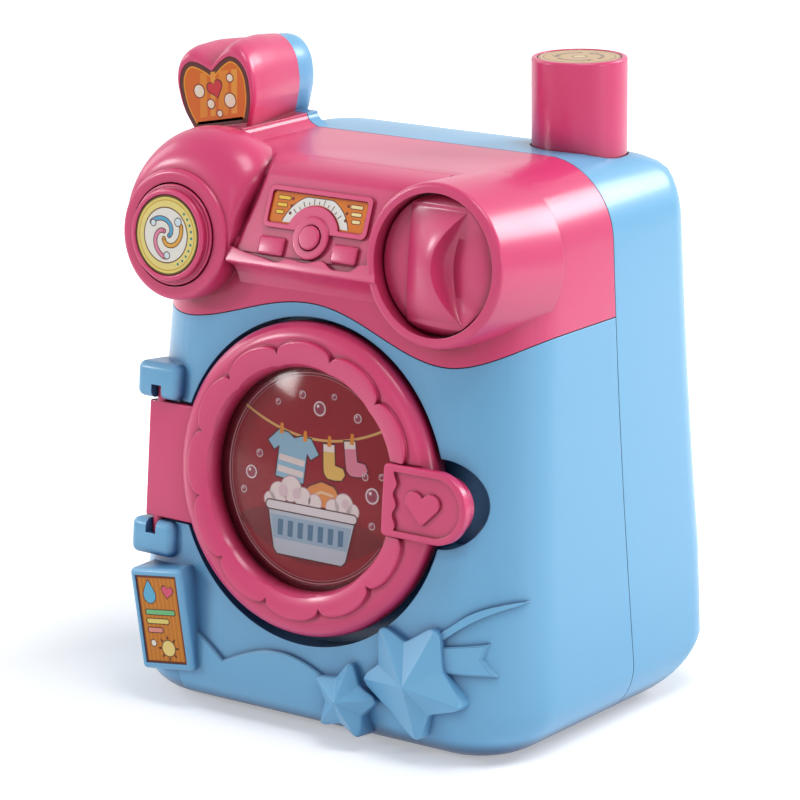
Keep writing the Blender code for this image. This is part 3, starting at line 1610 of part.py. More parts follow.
def grip_row(share):
    """Points across the knob's face at one height: a flat, a straight foot, a full crest, a hollow wall, a flat."""
    z = dial_radius * share
    chord = dial_radius * math.sqrt(max(1.0 - share * share, 0.0))
    foot = max(-grip_foot_share * dial_radius, -chord)
    crest = min(grip_curve_share * share * share * dial_radius, chord)
    wall_foot = min((grip_wall_share + (grip_curve_share - grip_wall_share) * share * share) * dial_radius, chord)
    end = min(1.0, grip_end_share * math.sqrt(max(1.0 - share * share, 0.0)))
    high = dial_grip_height * end
    points = [(-chord, 0.0, z), (foot, 0.0, z)]
    for along in (0.04, 0.28, 0.52, 0.76, 1.0):
        rise = grip_step_share + (1.0 - grip_step_share) * math.sin(math.pi / 2.0 * along)
        points.append((foot + (crest - foot) * along, -high * rise, z))
    points.append((crest + (wall_foot - crest) * 0.45, -high * grip_hollow_share, z))
    points.append((wall_foot, 0.0, z))
    points.append((chord, 0.0, z))
    return points


def make_dial(made_of):
    front = dial_disc_drop - dial_pod_proud
    back = front + dial_disc_thickness
    frame = leaning(dial_x, dial_up)
    steps = 16
    rows = []
    bm = bmesh.new()
    for i in range(steps + 1):
        share = math.sin(math.pi * (i / steps - 0.5))
        rows.append([bm.verts.new(frame @ Vector((x, front + y, z))) for x, y, z in grip_row(share)])
    for low, high in zip(rows, rows[1:]):
        for a, b, c, d in zip(low, low[1:], high[1:], high):
            bm.faces.new((a, b, c, d))
    bmesh.ops.remove_doubles(bm, verts=bm.verts, dist=weld)
    rim = [edge for edge in bm.edges if len(edge.link_faces) == 1]
    made = bmesh.ops.extrude_edge_only(bm, edges=rim)["geom"]
    lower = [item for item in made if isinstance(item, bmesh.types.BMVert)]
    inward = frame.inverted()
    for vert in lower:
        point = inward @ vert.co
        vert.co = frame @ Vector((point.x, back, point.z))
    bmesh.ops.remove_doubles(bm, verts=bm.verts, dist=weld)
    bmesh.ops.holes_fill(bm, edges=[edge for edge in bm.edges if len(edge.link_faces) == 1])
    bmesh.ops.dissolve_degenerate(bm, edges=bm.edges, dist=weld)
    bmesh.ops.recalc_face_normals(bm, faces=bm.faces)
    dial = as_object("dial_knob", bm)
    add(dial, cylinder(dial_shaft_radius, back - small_round, back + dial_shaft_length, frame))
    cut(dial, cylinder(screw_hole_radius, back + dial_shaft_length - screw_bite * 0.75,
                       back + dial_shaft_length + overrun, frame))
    finish(dial, "dial_knob", made_of)
    place_origin(dial, frame.translation)
    return dial


def dial_back():
    return dial_disc_drop - dial_pod_proud + dial_disc_thickness


def click_wheel_start():
    return dial_bore_depth - dial_pod_proud + dial_hub_thickness + click_wheel_drop


def make_click_wheel(made_of):
    """A notched disc on the dial's shaft, behind the pod's floor."""
    start = click_wheel_start()
    outline = []
    steps = click_notches * 4
    for i in range(steps):
        angle = 2.0 * math.pi * i / steps
        radius = click_wheel_radius - click_notch_depth * (0.5 - 0.5 * math.cos(click_notches * angle))
        outline.append((radius * math.cos(angle), radius * math.sin(angle)))
    frame = leaning(dial_x, dial_up)
    wheel = prism(outline, start, start + click_wheel_thickness, frame)
    cut(wheel, cylinder(dial_shaft_radius + gap, start - overrun, start + overrun, frame))
    finish(wheel, "click_wheel", made_of)
    place_origin(wheel, frame.translation)
    return wheel


def make_dial_screw(made_of):
    seat = dial_back() + dial_shaft_length + gap
    body = screw("dial_screw", leaning(dial_x, dial_up), head_well_radius + dial_shaft_radius / 2.0, seat,
                 screw_bite * 0.6, made_of)
    place_origin(body, leaning(dial_x, dial_up).translation)
    return body


def click_post():
    """A post behind the dial pod's floor that holds the click spring's end."""
    start = dial_bore_depth - dial_pod_proud + dial_hub_thickness / 2.0
    end = click_wheel_start() + click_wheel_thickness
    low = click_wheel_radius + gap + click_spring_thickness + gap
    half = click_post_size / 2.0
    x = -click_spring_length / 2.0
    return box((x - half, start, -low - click_post_size), (x + half, end, -low), leaning(dial_x, dial_up))


def make_click_spring(steel):
    """A flat spring under the click wheel, with a bead that runs in its notches."""
    start = click_wheel_start()
    end = start + click_wheel_thickness
    top = -click_wheel_radius - gap
    half = click_spring_length / 2.0
    strip = box((-half, start, top - click_spring_thickness), (half, end, top), leaning(dial_x, dial_up))
    return finish(strip, "click_spring", steel)


# Buttons

def make_left_button(made_of):
    frame = leaning(button_x, button_up)
    cap = -button_pod_proud - button_cap_proud
    step = -button_pod_proud - button_flange_proud
    back = step + button_skirt
    under = cap + button_top + button_label_pocket
    label_edge = button_label_radius + gap
    inner = button_flange_radius - thin_wall
    stem_end = cap + button_stem_length
    body = turned("left_button", [
        (0.0, cap + button_label_pocket), (label_edge, cap + button_label_pocket), (label_edge, cap + small_round),
        (label_edge + small_round, cap), (button_cap_radius - button_cap_round, cap),
        (button_cap_radius, cap + button_cap_round), (button_cap_radius, step),
        (button_flange_radius - small_round, step), (button_flange_radius, step + small_round),
        (button_flange_radius, back), (inner, back), (inner, under), (button_stem_radius, under),
        (button_stem_radius, stem_end), (0.0, stem_end)], frame)
    finish(body, "left_button", made_of)
    return place_origin(body, frame.translation)


def make_button_label(made_of):
    start = -button_pod_proud - button_cap_proud + button_label_pocket - label_gap
    label = cylinder(button_label_radius, start - button_label_thickness, start,
                     leaning(button_x, button_up), round_sides)
    finish(label, "button_label", made_of)
    return place_origin(label, leaning(button_x, button_up).translation)


def make_button_spring(steel):
    start = -button_pod_proud - button_cap_proud + button_top + button_label_pocket + gap
    end = button_bore_depth - button_pod_proud - gap
    return coil("button_spring", button_spring_radius, button_spring_wire, button_spring_turns,
                start, end, leaning(button_x, button_up), steel)


def make_button_clip(steel):
    start = button_bore_depth - button_pod_proud + wall + gap
    clip = turned("button_clip", [(button_stem_radius + gap, start), (button_clip_radius, start),
                                  (button_clip_radius, start + button_clip_thickness),
                                  (button_stem_radius + gap, start + button_clip_thickness)],
                  leaning(button_x, button_up), small_sides)
    finish(clip, "button_clip", steel)
    return place_origin(clip, leaning(button_x, button_up).translation)


def make_start_button(made_of):
    front = -start_button_proud
    back = start_button_depth
    end = start_pocket_depth + start_stem_length / 4.0
    button = turned("start_button", [
        (0.0, front), (start_button_radius - small_round, front), (start_button_radius, front + small_round),
        (start_button_radius, back), (start_stem_radius, back), (start_stem_radius, end), (0.0, end)],
        on_panel(start_x, start_up), 20)
    finish(button, "start_button", made_of)
    return place_origin(button, on_panel(start_x, start_up).translation)


def make_start_spring(steel):
    return coil("start_spring", start_spring_radius, start_spring_wire, start_spring_turns,
                start_button_depth + gap, start_pocket_depth - gap, on_panel(start_x, start_up), steel)


def main():
    clear_scene()
    pink_plastic = material("pink_plastic", pink, 0.22)
    blue_plastic = material("blue_plastic", blue, 0.28)
    drum_plastic = material("drum_plastic", (0.55, 0.05, 0.10), 0.30)
    gear_plastic = material("gear_plastic", (0.80, 0.78, 0.72), 0.45)
    steel = material("steel", (0.62, 0.62, 0.64), 0.28, 1.0)
    clear_plastic = material("clear_plastic", (0.90, 0.92, 0.95), 0.05)
    picture_print = material("picture_print", (0.30, 0.02, 0.04), 0.35)
    amber_print = material("amber_print", (0.85, 0.36, 0.05), 0.30)

    make_front_shell(blue_plastic)
    make_rear_shell(blue_plastic)
    make_hood(pink_plastic)
    make_heart_badge(amber_print)
    make_display_label(amber_print)
    make_picture_label(amber_print)
    make_rear_screws(steel)

    make_drum(drum_plastic)
    make_drum_gear(gear_plastic)
    make_idler(gear_plastic)
    make_shafts(steel)
    make_gear_plate(gear_plastic)
    make_plate_screws(steel)

    make_plunger(pink_plastic)
    make_plunger_label(amber_print)
    make_rack(gear_plastic)
    make_plunger_spring(steel)

    make_door_ring(pink_plastic)
    make_door_handle(pink_plastic)
    make_window(clear_plastic)
    make_film(picture_print)
    make_retainer(pink_plastic)

    make_dial(pink_plastic)
    make_click_wheel(gear_plastic)
    make_dial_screw(steel)
    make_click_spring(steel)

    make_left_button(pink_plastic)
    make_button_label(amber_print)
    make_button_spring(steel)
    make_button_clip(steel)
    make_start_button(pink_plastic)
    make_start_spring(steel)


main()
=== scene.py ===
"""Looks of the toy washing machine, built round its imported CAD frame.
The front face leans back. Pieces on it are placed in a leaning frame whose origin is the door's
centre: local X right, local Y into the body, local Z up the face."""
import math

import bmesh
import bpy
from mathutils import Matrix, Vector


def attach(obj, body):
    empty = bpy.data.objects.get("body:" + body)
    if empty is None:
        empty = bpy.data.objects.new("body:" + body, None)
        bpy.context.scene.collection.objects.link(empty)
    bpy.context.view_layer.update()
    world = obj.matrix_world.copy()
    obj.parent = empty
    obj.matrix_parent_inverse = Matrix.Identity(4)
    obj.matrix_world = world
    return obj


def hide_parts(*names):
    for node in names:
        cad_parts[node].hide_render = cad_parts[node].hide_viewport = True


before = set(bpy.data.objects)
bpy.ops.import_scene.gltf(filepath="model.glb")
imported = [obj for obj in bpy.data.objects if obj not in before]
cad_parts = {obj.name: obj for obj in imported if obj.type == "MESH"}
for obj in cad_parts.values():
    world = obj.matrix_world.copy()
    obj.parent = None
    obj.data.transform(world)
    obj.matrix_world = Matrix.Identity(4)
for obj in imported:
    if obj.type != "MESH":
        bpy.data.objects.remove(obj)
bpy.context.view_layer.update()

gap = 0.0003
label_gap = 0.00015
wall = 0.0022
thin_wall = 0.0018
overrun = 0.010
small_round = 0.0006

# Body
lean = math.radians(5.8)
door_centre_height = 0.0825
face_y = -0.05026
crown_height = 0.0980
body_top = door_centre_height + crown_height
base_half_width = 0.0800
top_half_width = 0.0709
side_hollow = 0.0012
base_edge_radius = 0.0190
rear_base_height = 0.0300
rear_base_depth = 0.0370
top_side_radius = 0.0240
top_front_radius = 0.0160
rear_top_height = 0.0107
rear_top_depth = 0.0480
front_corner_radius = 0.0280
rear_corner_radius = 0.0140
least_corner_radius = 0.0020
back_y_at_base = 0.06594
back_y_at_top = 0.06234
parting_y = 0.01374

# Seam between the pink hood and the blue front, heights above the door's centre
seam_crest_x = -0.0028
seam_half_wave = 0.0533
seam_crest_height = 0.0552
seam_left_height = 0.0451
seam_right_height = 0.0420
seam_right_rise = 0.0200
seam_left_rise = 0.0102

# Console between the pods
panel_lean = math.radians(22.0)
panel_foot_depth = 0.0015
panel_foot_height = 0.0705
panel_length = 0.0270
ledge_bottom_height = 0.0586
hood_right_x = 0.0400
hood_back_depth = 0.0300
hood_round = 0.0030
bezel_width = 0.0405
bezel_height = 0.0135
bezel_centre_x = 0.0002
bezel_centre_up = 0.0148
bezel_raise = 0.0009
bezel_rim = 0.0016
bezel_corner = 0.0020
display_label_thickness = 0.0004
display_pocket_depth = 0.0012
arch_radius = 0.0102
start_ring_radius = 0.0069
start_ring_raise = 0.0014
start_x = -0.0002
start_up = 0.0063
start_button_radius = 0.0039
start_button_proud = 0.0022
start_button_depth = 0.0020
start_travel = 0.0012
start_pocket_depth = 0.0070
start_floor = 0.0014
start_stem_radius = 0.0011
start_stem_length = 0.0080
key_width = 0.0100
key_height = 0.0059
key_raise = 0.0013
key_round = 0.0009
left_key_x = -0.0147
left_key_up = 0.0022
right_key_x = 0.0137
right_key_up = 0.0027

# Dial pod and dial
dial_x = 0.0485
dial_up = 0.0741
dial_pod_radius = 0.0253
dial_pod_draft = 0.0018
dial_pod_proud = 0.0075
dial_pod_length = 0.0310
dial_pod_taper = 0.0050
dial_bore_radius = 0.0221
dial_bore_depth = 0.0085
dial_lip_round = 0.0012
dial_radius = 0.0214
dial_disc_drop = 0.0045
dial_disc_thickness = 0.0032
dial_grip_height = 0.0068
dial_shaft_radius = 0.0040
dial_shaft_length = 0.0120
dial_hub_thickness = 0.0022
click_wheel_radius = 0.0110
click_notch_depth = 0.0014
click_notches = 12
click_wheel_thickness = 0.0026
click_wheel_drop = 0.0024
click_spring_thickness = 0.0008
click_spring_width = 0.0040
click_spring_length = 0.0160
click_post_size = 0.0040

# Round push button on the left pod
button_x = -0.0517
button_up = 0.0721
button_pod_radius = 0.0210
button_pod_proud = 0.0093
button_pod_length = 0.0240
button_bore_radius = 0.0166
button_bore_depth = 0.0113
button_lip_round = 0.0016
button_flange_radius = 0.0161
button_flange_proud = 0.0006
button_cap_radius = 0.0147
button_cap_proud = 0.0031
button_cap_round = 0.0010
button_label_radius = 0.0126
button_label_thickness = 0.0005
button_label_pocket = 0.0009
button_skirt = 0.0062
button_top = 0.0026
button_stem_radius = 0.0035
button_stem_length = 0.0200
button_travel = 0.0030
button_clip_radius = 0.0065
button_clip_thickness = 0.0012
bulb_radius = 0.0262
bulb_depth = 0.0060
bulb_x = -0.0483
bulb_up = 0.0800

# Heart on the top left
heart_inset = 0.0173
heart_x = heart_inset - base_half_width
heart_half_width = 0.0159
heart_lobe_half_height = 0.0107
heart_notch_drop = 0.0050
badge_top_share = 0.56
notch_curve = 1.5
heart_lobe_height = 0.1152
heart_lower_drop = 0.0325
heart_flank_shares = ((0.985, 0.12), (0.93, 0.25), (0.81, 0.39), (0.64, 0.56), (0.36, 0.78))
heart_turn = math.radians(11.0)
heart_front_depth = 0.0335
heart_rear_thickness = 0.0110
heart_front_shares = ((0.0, 0.935, 0.85, 0.0, 0.56), (0.012, 0.965, 0.91, 0.0, 0.56),
                      (0.035, 0.988, 0.97, 0.0, 0.56), (0.08, 1.0, 1.04, 0.01, 0.55),
                      (0.16, 1.0, 1.10, 0.03, 0.54), (0.27, 0.995, 1.14, 0.05, 0.53),
                      (0.52, 0.98, 1.15, 0.11, 0.50), (0.80, 0.94, 1.09, 0.17, 0.45),
                      (1.0, 0.90, 1.03, 0.20, 0.42))
heart_rear_shares = ((0.0, 0.885, 1.01, 0.20, 0.42), (0.50, 0.86, 0.97, 0.20, 0.42),
                     (0.86, 0.80, 0.88, 0.20, 0.42), (1.0, 0.70, 0.74, 0.20, 0.42))
heart_foot_width = 0.0061
heart_foot_height = 0.0040
heart_foot_front_depth = 0.0300
badge_thickness = 0.0008
badge_pocket = 0.0010
badge_share = 0.90
badge_drop = 0.0012
badge_cut_drop = 0.0128

# Door recess, finger pocket and drum collar
recess_radius = 0.0523
recess_drop = 0.0010
recess_depth = 0.0100
finger_x = 0.0510
finger_radius = 0.0140
finger_depth = 0.0120
collar_radius = 0.0380
collar_end_depth = 0.0220

# Door
door_radius = 0.0500
window_radius = 0.0355
ring_crest_radius = 0.0442
ring_crest_proud = 0.0050
ring_rim_proud = 0.0024
ring_back_depth = 0.0085
scallop_lobes = 12
scallop_cusp_radius = 0.0406
scallop_depth = 0.0038
scallop_raise = 0.0015
scallop_slope = 0.0009
window_seat_radius = 0.0376
window_seat_depth = 0.0000
dome_rise = 0.0052
dome_wall = 0.0014
dome_flange_thickness = 0.0016
film_thickness = 0.0006
retainer_inner_radius = 0.0325
retainer_thickness = 0.0026
hinge_x = -0.0610
hinge_depth = 0.0010
hinge_pin_radius = 0.0020
hinge_pin_reach = 0.0056
leaf_left_x = -0.0652
leaf_right_x = -0.0450
leaf_top = 0.0165
leaf_bottom = -0.0215
leaf_front_proud = 0.0010
leaf_thickness = 0.0040
leaf_pocket_gap = 0.0008
leaf_swing_gap = 0.0006
bracket_left_x = -0.0696
bracket_right_x = -0.0522
bracket_front_proud = 0.0032
bracket_height = 0.0118
bracket_back_depth = 0.0120
bracket_round = 0.0026
bracket_slot_length = 0.0045
handle_left_x = 0.0336
handle_tip_x = 0.0651
handle_half_height = 0.0114
handle_proud = 0.0070
handle_plate_thickness = 0.0028
handle_body_left_x = 0.0515
handle_body_depth = 0.0010
handle_rim = 0.0022
handle_dish = 0.0010
handle_heart_half_width = 0.0066

# Reliefs moulded on the blue front
relief_raise = 0.0014
star_point_depth = 0.0080
star_side_proud = 0.0026
star_apex_proud = 0.0080
star_tip_half_width = 0.0009
big_star_x = 0.0432
big_star_up = -0.0558
big_star_radius = 0.0182
big_star_inner_radius = 0.0118
big_star_turn = math.radians(56.5)
small_star_x = 0.0198
small_star_up = -0.0672
small_star_radius = 0.0122
small_star_inner_radius = 0.0077
small_star_turn = math.radians(82.7)
cloud_left_x = -0.0500
cloud_right_x = 0.0150
cloud_cusp_x = -0.0305
cloud_cusp_up = -0.0636
cloud_left_rise = 0.0095
cloud_hump_rise = 0.0069
picture_box_inset = 0.0270
picture_box_x = picture_box_inset - base_half_width
picture_box_up = -0.0538
picture_box_width = 0.0214
picture_box_height = 0.0338
picture_box_turn = math.radians(7.3)
picture_box_top_proud = 0.0078
picture_box_bottom_proud = 0.0038
picture_box_back_depth = 0.0100
picture_box_round = 0.0016
picture_rim = 0.0022
picture_pocket = 0.0010
picture_label_thickness = 0.0005

# Ribbon points: across and up in shares of these sizes, from the big star's centre
ribbon_reach = 0.0325
ribbon_rise = 0.0278

# Rear screws and bosses
boss_radius = 0.0042
boss_inset = 0.0150
boss_front_depth = 0.0300
low_boss_height = 0.0232
middle_boss_height = 0.0650
top_boss_height = 0.13396
screw_radius = 0.0015
screw_head_radius = 0.0030
screw_head_thickness = 0.0020
screw_hole_radius = 0.0018
screw_bite = 0.0120
head_well_radius = 0.0034
head_seat_depth = 0.0080
rib_half_width = 0.0008
rib_sink_share = 0.62

# Drum
drum_front_depth = 0.0228
drum_length = 0.0470
drum_radius = 0.0440
drum_mouth_radius = 0.0386
drum_hub_radius = 0.0060
drum_hub_length = 0.0060
drum_hole_radius = 0.0022
drum_holes_round = 12
drum_hole_rows = 2
paddle_height = 0.0090
paddle_foot = 0.0120
paddle_top = 0.0040

# Shafts
shaft_radius = 0.0020
shaft_head_radius = 0.0045
shaft_head_thickness = 0.0020
shaft_tail = 0.0030
clip_thickness = 0.0010

# Gear train: the rack on the plunger turns the idler, whose wheel turns the drum
gear_module = 0.0015
drum_gear_teeth = 12
wheel_teeth = 40
pinion_teeth = 10
pressure_angle = math.radians(25.0)
addendum_share = 0.85
dedendum_share = 1.20
tooth_thickness_share = 0.42
drum_gear_thickness = 0.0043
wheel_thickness = 0.0040
pinion_length = 0.0107
rack_pitch_x = 0.0385
rack_back_x = 0.0460
rack_width = 0.0060
rack_low_height = 0.0150
rack_teeth = 8
rack_foot_radius = 0.0080
rack_foot_thickness = 0.0022
gear_plate_thickness = 0.0024
gear_plate_margin = 0.0070
plate_screw_head_radius = 0.0028

# Plunger
plunger_x = 0.0430
plunger_depth = 0.0875
plunger_radius = 0.0153
plunger_top_height = 0.1259
plunger_bottom_height = 0.0820
plunger_top_wall = 0.0020
plunger_lip_radius = 0.0171
plunger_lip_thickness = 0.0020
plunger_travel = 0.0220
plunger_label_radius = 0.0132
plunger_label_thickness = 0.0005
plunger_label_pocket = 0.0009
plunger_clearance = 0.0005
guide_length = 0.0110
guide_wall = 0.0018
seat_height = 0.0595
seat_thickness = 0.0025
seat_half_width = 0.0130

# Springs
plunger_spring_radius = 0.0100
plunger_spring_wire = 0.0016
plunger_spring_turns = 7
button_spring_radius = 0.0080
button_spring_wire = 0.0010
button_spring_turns = 4
start_spring_radius = 0.0024
start_spring_wire = 0.0005
start_spring_turns = 3

# Facets
round_sides = 96
small_sides = 32
door_sides = 144
corner_steps = 14
edge_steps = 12
inner_corner_steps = 4
inner_edge_steps = 4
weld = 0.000002
flat_angle = math.radians(0.02)


# Modelling helpers

def as_object(name, bm):
    mesh = bpy.data.meshes.new(name)
    bm.to_mesh(mesh)
    bm.free()
    thing = bpy.data.objects.new(name, mesh)
    bpy.context.scene.collection.objects.link(thing)
    return thing


def solid(name, rings, matrix, closed_tube=False):
    """A closed piece drawn out ring by ring. A ring of one point is a pole."""
    bm = bmesh.new()
    poles = [matrix @ Vector(ring[0]) if len(ring) == 1 else None for ring in (rings[0], rings[-1])]
    rings = [ring for ring in rings if len(ring) > 1]
    row = [bm.verts.new(matrix @ Vector(point)) for point in rings[0]]
    first = [bm.edges.new((row[i - 1], row[i])) for i in range(len(row))]
    edges = first
    for ring in rings[1:]:
        made = bmesh.ops.extrude_edge_only(bm, edges=edges)["geom"]
        fresh = {item for item in made if isinstance(item, bmesh.types.BMVert)}
        row = [next(e.other_vert(v) for e in v.link_edges if e.other_vert(v) in fresh) for v in row]
        for vert, point in zip(row, ring):
            vert.co = matrix @ Vector(point)
        edges = [bm.edges.get((row[i - 1], row[i])) for i in range(len(row))]
    if closed_tube:
        bmesh.ops.bridge_loops(bm, edges=first + edges)
    else:
        for loop, pole in ((first, poles[0]), (edges, poles[1])):
            cap = bmesh.ops.contextual_create(bm, geom=loop)["faces"][0]
            if pole is not None:
                bmesh.ops.poke(bm, faces=[cap])["verts"][0].co = pole
    bmesh.ops.recalc_face_normals(bm, faces=bm.faces)
    bmesh.ops.triangulate(bm, faces=[face for face in bm.faces if len(face.verts) == 4])
    return as_object(name, bm)


def turned(name, profile, matrix, sides=round_sides):
    """Points of radius and depth, spun about local Y. A profile off the axis is closed on itself."""
    bm = bmesh.new()
    row = [bm.verts.new((radius, depth, 0.0)) for radius, depth in profile]
    edges = [bm.edges.new(pair) for pair in zip(row, row[1:])]
    if profile[0][0] > 0.0 and profile[-1][0] > 0.0:
        edges.append(bm.edges.new((row[-1], row[0])))
    bmesh.ops.spin(bm, geom=row + edges, cent=(0.0, 0.0, 0.0), axis=(0.0, 1.0, 0.0),
                   angle=2.0 * math.pi, steps=sides, use_merge=True)
    bmesh.ops.remove_doubles(bm, verts=bm.verts, dist=weld)
    bmesh.ops.recalc_face_normals(bm, faces=bm.faces)
    bmesh.ops.transform(bm, matrix=matrix, verts=bm.verts)
    return as_object(name, bm)


def cylinder(radius, start, end, matrix, sides=small_sides):
    return turned("cylinder", [(0.0, start), (radius, start), (radius, end), (0.0, end)], matrix, sides)


def prism(outline, start, end, matrix):
    """An outline in local X and Z, drawn out along local Y."""
    bm = bmesh.new()
    face = bm.faces.new([bm.verts.new((x, start, z)) for x, z in outline])
    made = bmesh.ops.extrude_face_region(bm, geom=[face])["geom"]
    far = [item for item in made if isinstance(item, bmesh.types.BMVert)]
    bmesh.ops.translate(bm, vec=(0.0, end - start, 0.0), verts=far)
    bmesh.ops.recalc_face_normals(bm, faces=bm.faces)
    bmesh.ops.transform(bm, matrix=matrix, verts=bm.verts)
    return as_object("prism", bm)


def box(low, high, matrix, rounding=0.0, steps=8):
    bm = bmesh.new()
    bmesh.ops.create_cube(bm, size=1.0)
    size = [high[k] - low[k] for k in range(3)]
    middle = [(high[k] + low[k]) / 2.0 for k in range(3)]
    bmesh.ops.transform(bm, matrix=Matrix.Diagonal((*size, 1.0)), verts=bm.verts)
    if rounding > 0.0:
        bmesh.ops.bevel(bm, geom=bm.edges[:], offset=rounding, segments=steps, profile=0.5,
                        affect="EDGES", material=-1)
    bmesh.ops.transform(bm, matrix=matrix @ Matrix.Translation(middle), verts=bm.verts)
    return as_object("box", bm)


def soft(profile, steps=10):
    """Rounds each corner that has a third value, its radius."""
    points = []
    for i, (x, y, *radius) in enumerate(profile):
        here = Vector((x, y))
        if not radius:
            points.append((x, y))
            continue
        before = (Vector(profile[i - 1][:2]) - here).normalized() * radius[0]
        after = (Vector(profile[(i + 1) % len(profile)][:2]) - here).normalized() * radius[0]
        for k in range(steps + 1):
            t = k / steps
            points.append(tuple(here + before * (1.0 - t) * (1.0 - t) + after * t * t))
    return points


def bowed(start, bend, end, steps):
    """A smooth curve that sets out towards the bend and arrives from it."""
    return [tuple(a * (1.0 - t) * (1.0 - t) + 2.0 * b * t * (1.0 - t) + c * t * t for a, b, c in zip(start, bend, end))
            for t in (k / steps for k in range(steps + 1))]


def finer(rows, count):
    """Rows of a table filled in between by smooth curves that never overshoot."""
    wide = len(rows[0])
    x = [row[0] for row in rows]
    slopes = []
    for c in range(1, wide):
        step = [(rows[i + 1][c] - rows[i][c]) / (x[i + 1] - x[i]) for i in range(len(rows) - 1)]
        inner = [0.0 if a * b <= 0.0 else 2.0 * a * b / (a + b) for a, b in zip(step, step[1:])]
        slopes.append([step[0]] + inner + [step[-1]])
    out = []
    for i in range(len(rows) - 1):
        h = x[i + 1] - x[i]
        many = max(2, round(count * h / (x[-1] - x[0])))
        for k in range(many):
            t = k / many
            row = [x[i] + h * t]
            for c in range(1, wide):
                a, b = rows[i][c], rows[i + 1][c]
                m, n = slopes[c - 1][i] * h, slopes[c - 1][i + 1] * h
                row.append(a + m * t + (3 * (b - a) - 2 * m - n) * t * t + (m + n - 2 * (b - a)) * t ** 3)
            out.append(tuple(row))
    return out + [tuple(rows[-1])]


def leaning(x, up, depth=0.0):
    """The frame of a piece on the leaning face."""
    return (Matrix.Translation((0.0, face_y, door_centre_height))
            @ Matrix.Rotation(-lean, 4, "X") @ Matrix.Translation((x, depth, up)))


def upright(x, height, depth=0.0):
    """The frame of a piece whose axis runs straight back, measured from the door's centre."""
    return Matrix.Translation((x, face_y + depth, door_centre_height + height))


def on_panel(x, up):
    """The frame of a piece on the console's sloping panel."""
    foot = Matrix.Translation((0.0, face_y + panel_foot_depth, door_centre_height + panel_foot_height))
    return foot @ Matrix.Rotation(-panel_lean, 4, "X") @ Matrix.Translation((x, 0.0, up))


def combine(thing, other, operation):
    """Adds, cuts or keeps the common part of two solids, and removes the second."""
    step = thing.modifiers.new("combine", "BOOLEAN")
    step.operation = operation
    step.solver = "EXACT"
    step.object = other
    graph = bpy.context.evaluated_depsgraph_get()
    mesh = bpy.data.meshes.new_from_object(thing.evaluated_get(graph))
    thing.modifiers.clear()
    bm = bmesh.new()
    bm.from_mesh(mesh)
    bmesh.ops.remove_doubles(bm, verts=bm.verts, dist=weld)
    bmesh.ops.dissolve_degenerate(bm, edges=bm.edges, dist=weld)
    bmesh.ops.dissolve_limit(bm, verts=bm.verts, edges=bm.edges, angle_limit=flat_angle)
    loose = [edge for edge in bm.edges if not edge.link_faces]
    bmesh.ops.delete(bm, geom=loose, context="EDGES")
    pinholes = [edge for edge in bm.edges if len(edge.link_faces) == 1]
    bmesh.ops.holes_fill(bm, edges=pinholes, sides=4)
    bm.to_mesh(mesh)
    bm.free()
    thing.data = mesh
    bpy.data.objects.remove(other, do_unlink=True)
    return thing


def add(thing, *others):
    for other in others:
        combine(thing, other, "UNION")
    return thing


def cut(thing, *others):
    for other in others:
        combine(thing, other, "DIFFERENCE")
    return thing


def keep(thing, other):
    return combine(thing, other, "INTERSECT")


def offset_outline(points, distance):
    """The outline grown by a distance, with mitred corners. Points run counter-clockwise."""
    grown = []
    count = len(points)
    for i in range(count):
        before = Vector(points[i - 1])
        here = Vector(points[i])
        after = Vector(points[(i + 1) % count])
        first = (here - before).normalized()
        second = (after - here).normalized()
        normal_a = Vector((first.y, -first.x))
        normal_b = Vector((second.y, -second.x))
        mitre = (normal_a + normal_b).normalized()
        reach = distance / max(mitre.dot(normal_a), 0.3)
        grown.append(tuple(here + mitre * reach))
    return grown


def arc(centre, radius, start, end, steps):
    points = []
    for i in range(steps + 1):
        angle = start + (end - start) * i / steps
        points.append((centre[0] + radius * math.cos(angle), centre[1] + radius * math.sin(angle)))
    return points


def inset(height, radius):
    """How far a rounded edge stands in from its face at a height above its foot."""
    if height >= radius:
        return 0.0
    rise = radius - max(height, 0.0)
    return radius - math.sqrt(max(radius * radius - rise * rise, 0.0))


def half_width(z):
    share = (z - base_edge_radius) / (body_top - base_edge_radius)
    share = min(max(share, 0.0), 1.0)
    straight = base_half_width + (top_half_width - base_half_width) * share
    return straight - side_hollow * math.sin(math.pi * share)


def face_at(z):
    return face_y + math.tan(lean) * (z - door_centre_height)


def back_at(z):
    return back_y_at_base + (back_y_at_top - back_y_at_base) * z / body_top


def body_ring(z, grow, steps):
    foot = z + grow
    head = body_top + grow - z
    side = inset(foot, base_edge_radius + grow) + inset(head, top_side_radius + grow)
    front = inset(foot, base_edge_radius + grow) + inset(head, top_front_radius + grow)
    base_slope = rear_base_depth / rear_base_height
    top_slope = rear_top_depth / rear_top_height
    rear = inset(foot, rear_base_height + grow) * base_slope + inset(head, rear_top_height + grow) * top_slope
    right = half_width(z) + grow - side
    near = face_at(z) - grow + front
    far = back_at(z) + grow - rear
    front_radius = max(front_corner_radius + grow - max(side, front), least_corner_radius)
    rear_radius = max(rear_corner_radius + grow - side / 3.0, least_corner_radius)
    quarter = math.pi / 2.0
    outline = arc((right - front_radius, near + front_radius), front_radius, -quarter, 0.0, steps)
    outline += arc((right - rear_radius, far - rear_radius), rear_radius, 0.0, quarter, steps)
    outline += arc((rear_radius - right, far - rear_radius), rear_radius, quarter, 2.0 * quarter, steps)
    outline += arc((front_radius - right, near + front_radius), front_radius,
                   2.0 * quarter, 3.0 * quarter, steps)
    return [(x, y, z) for x, y in outline]


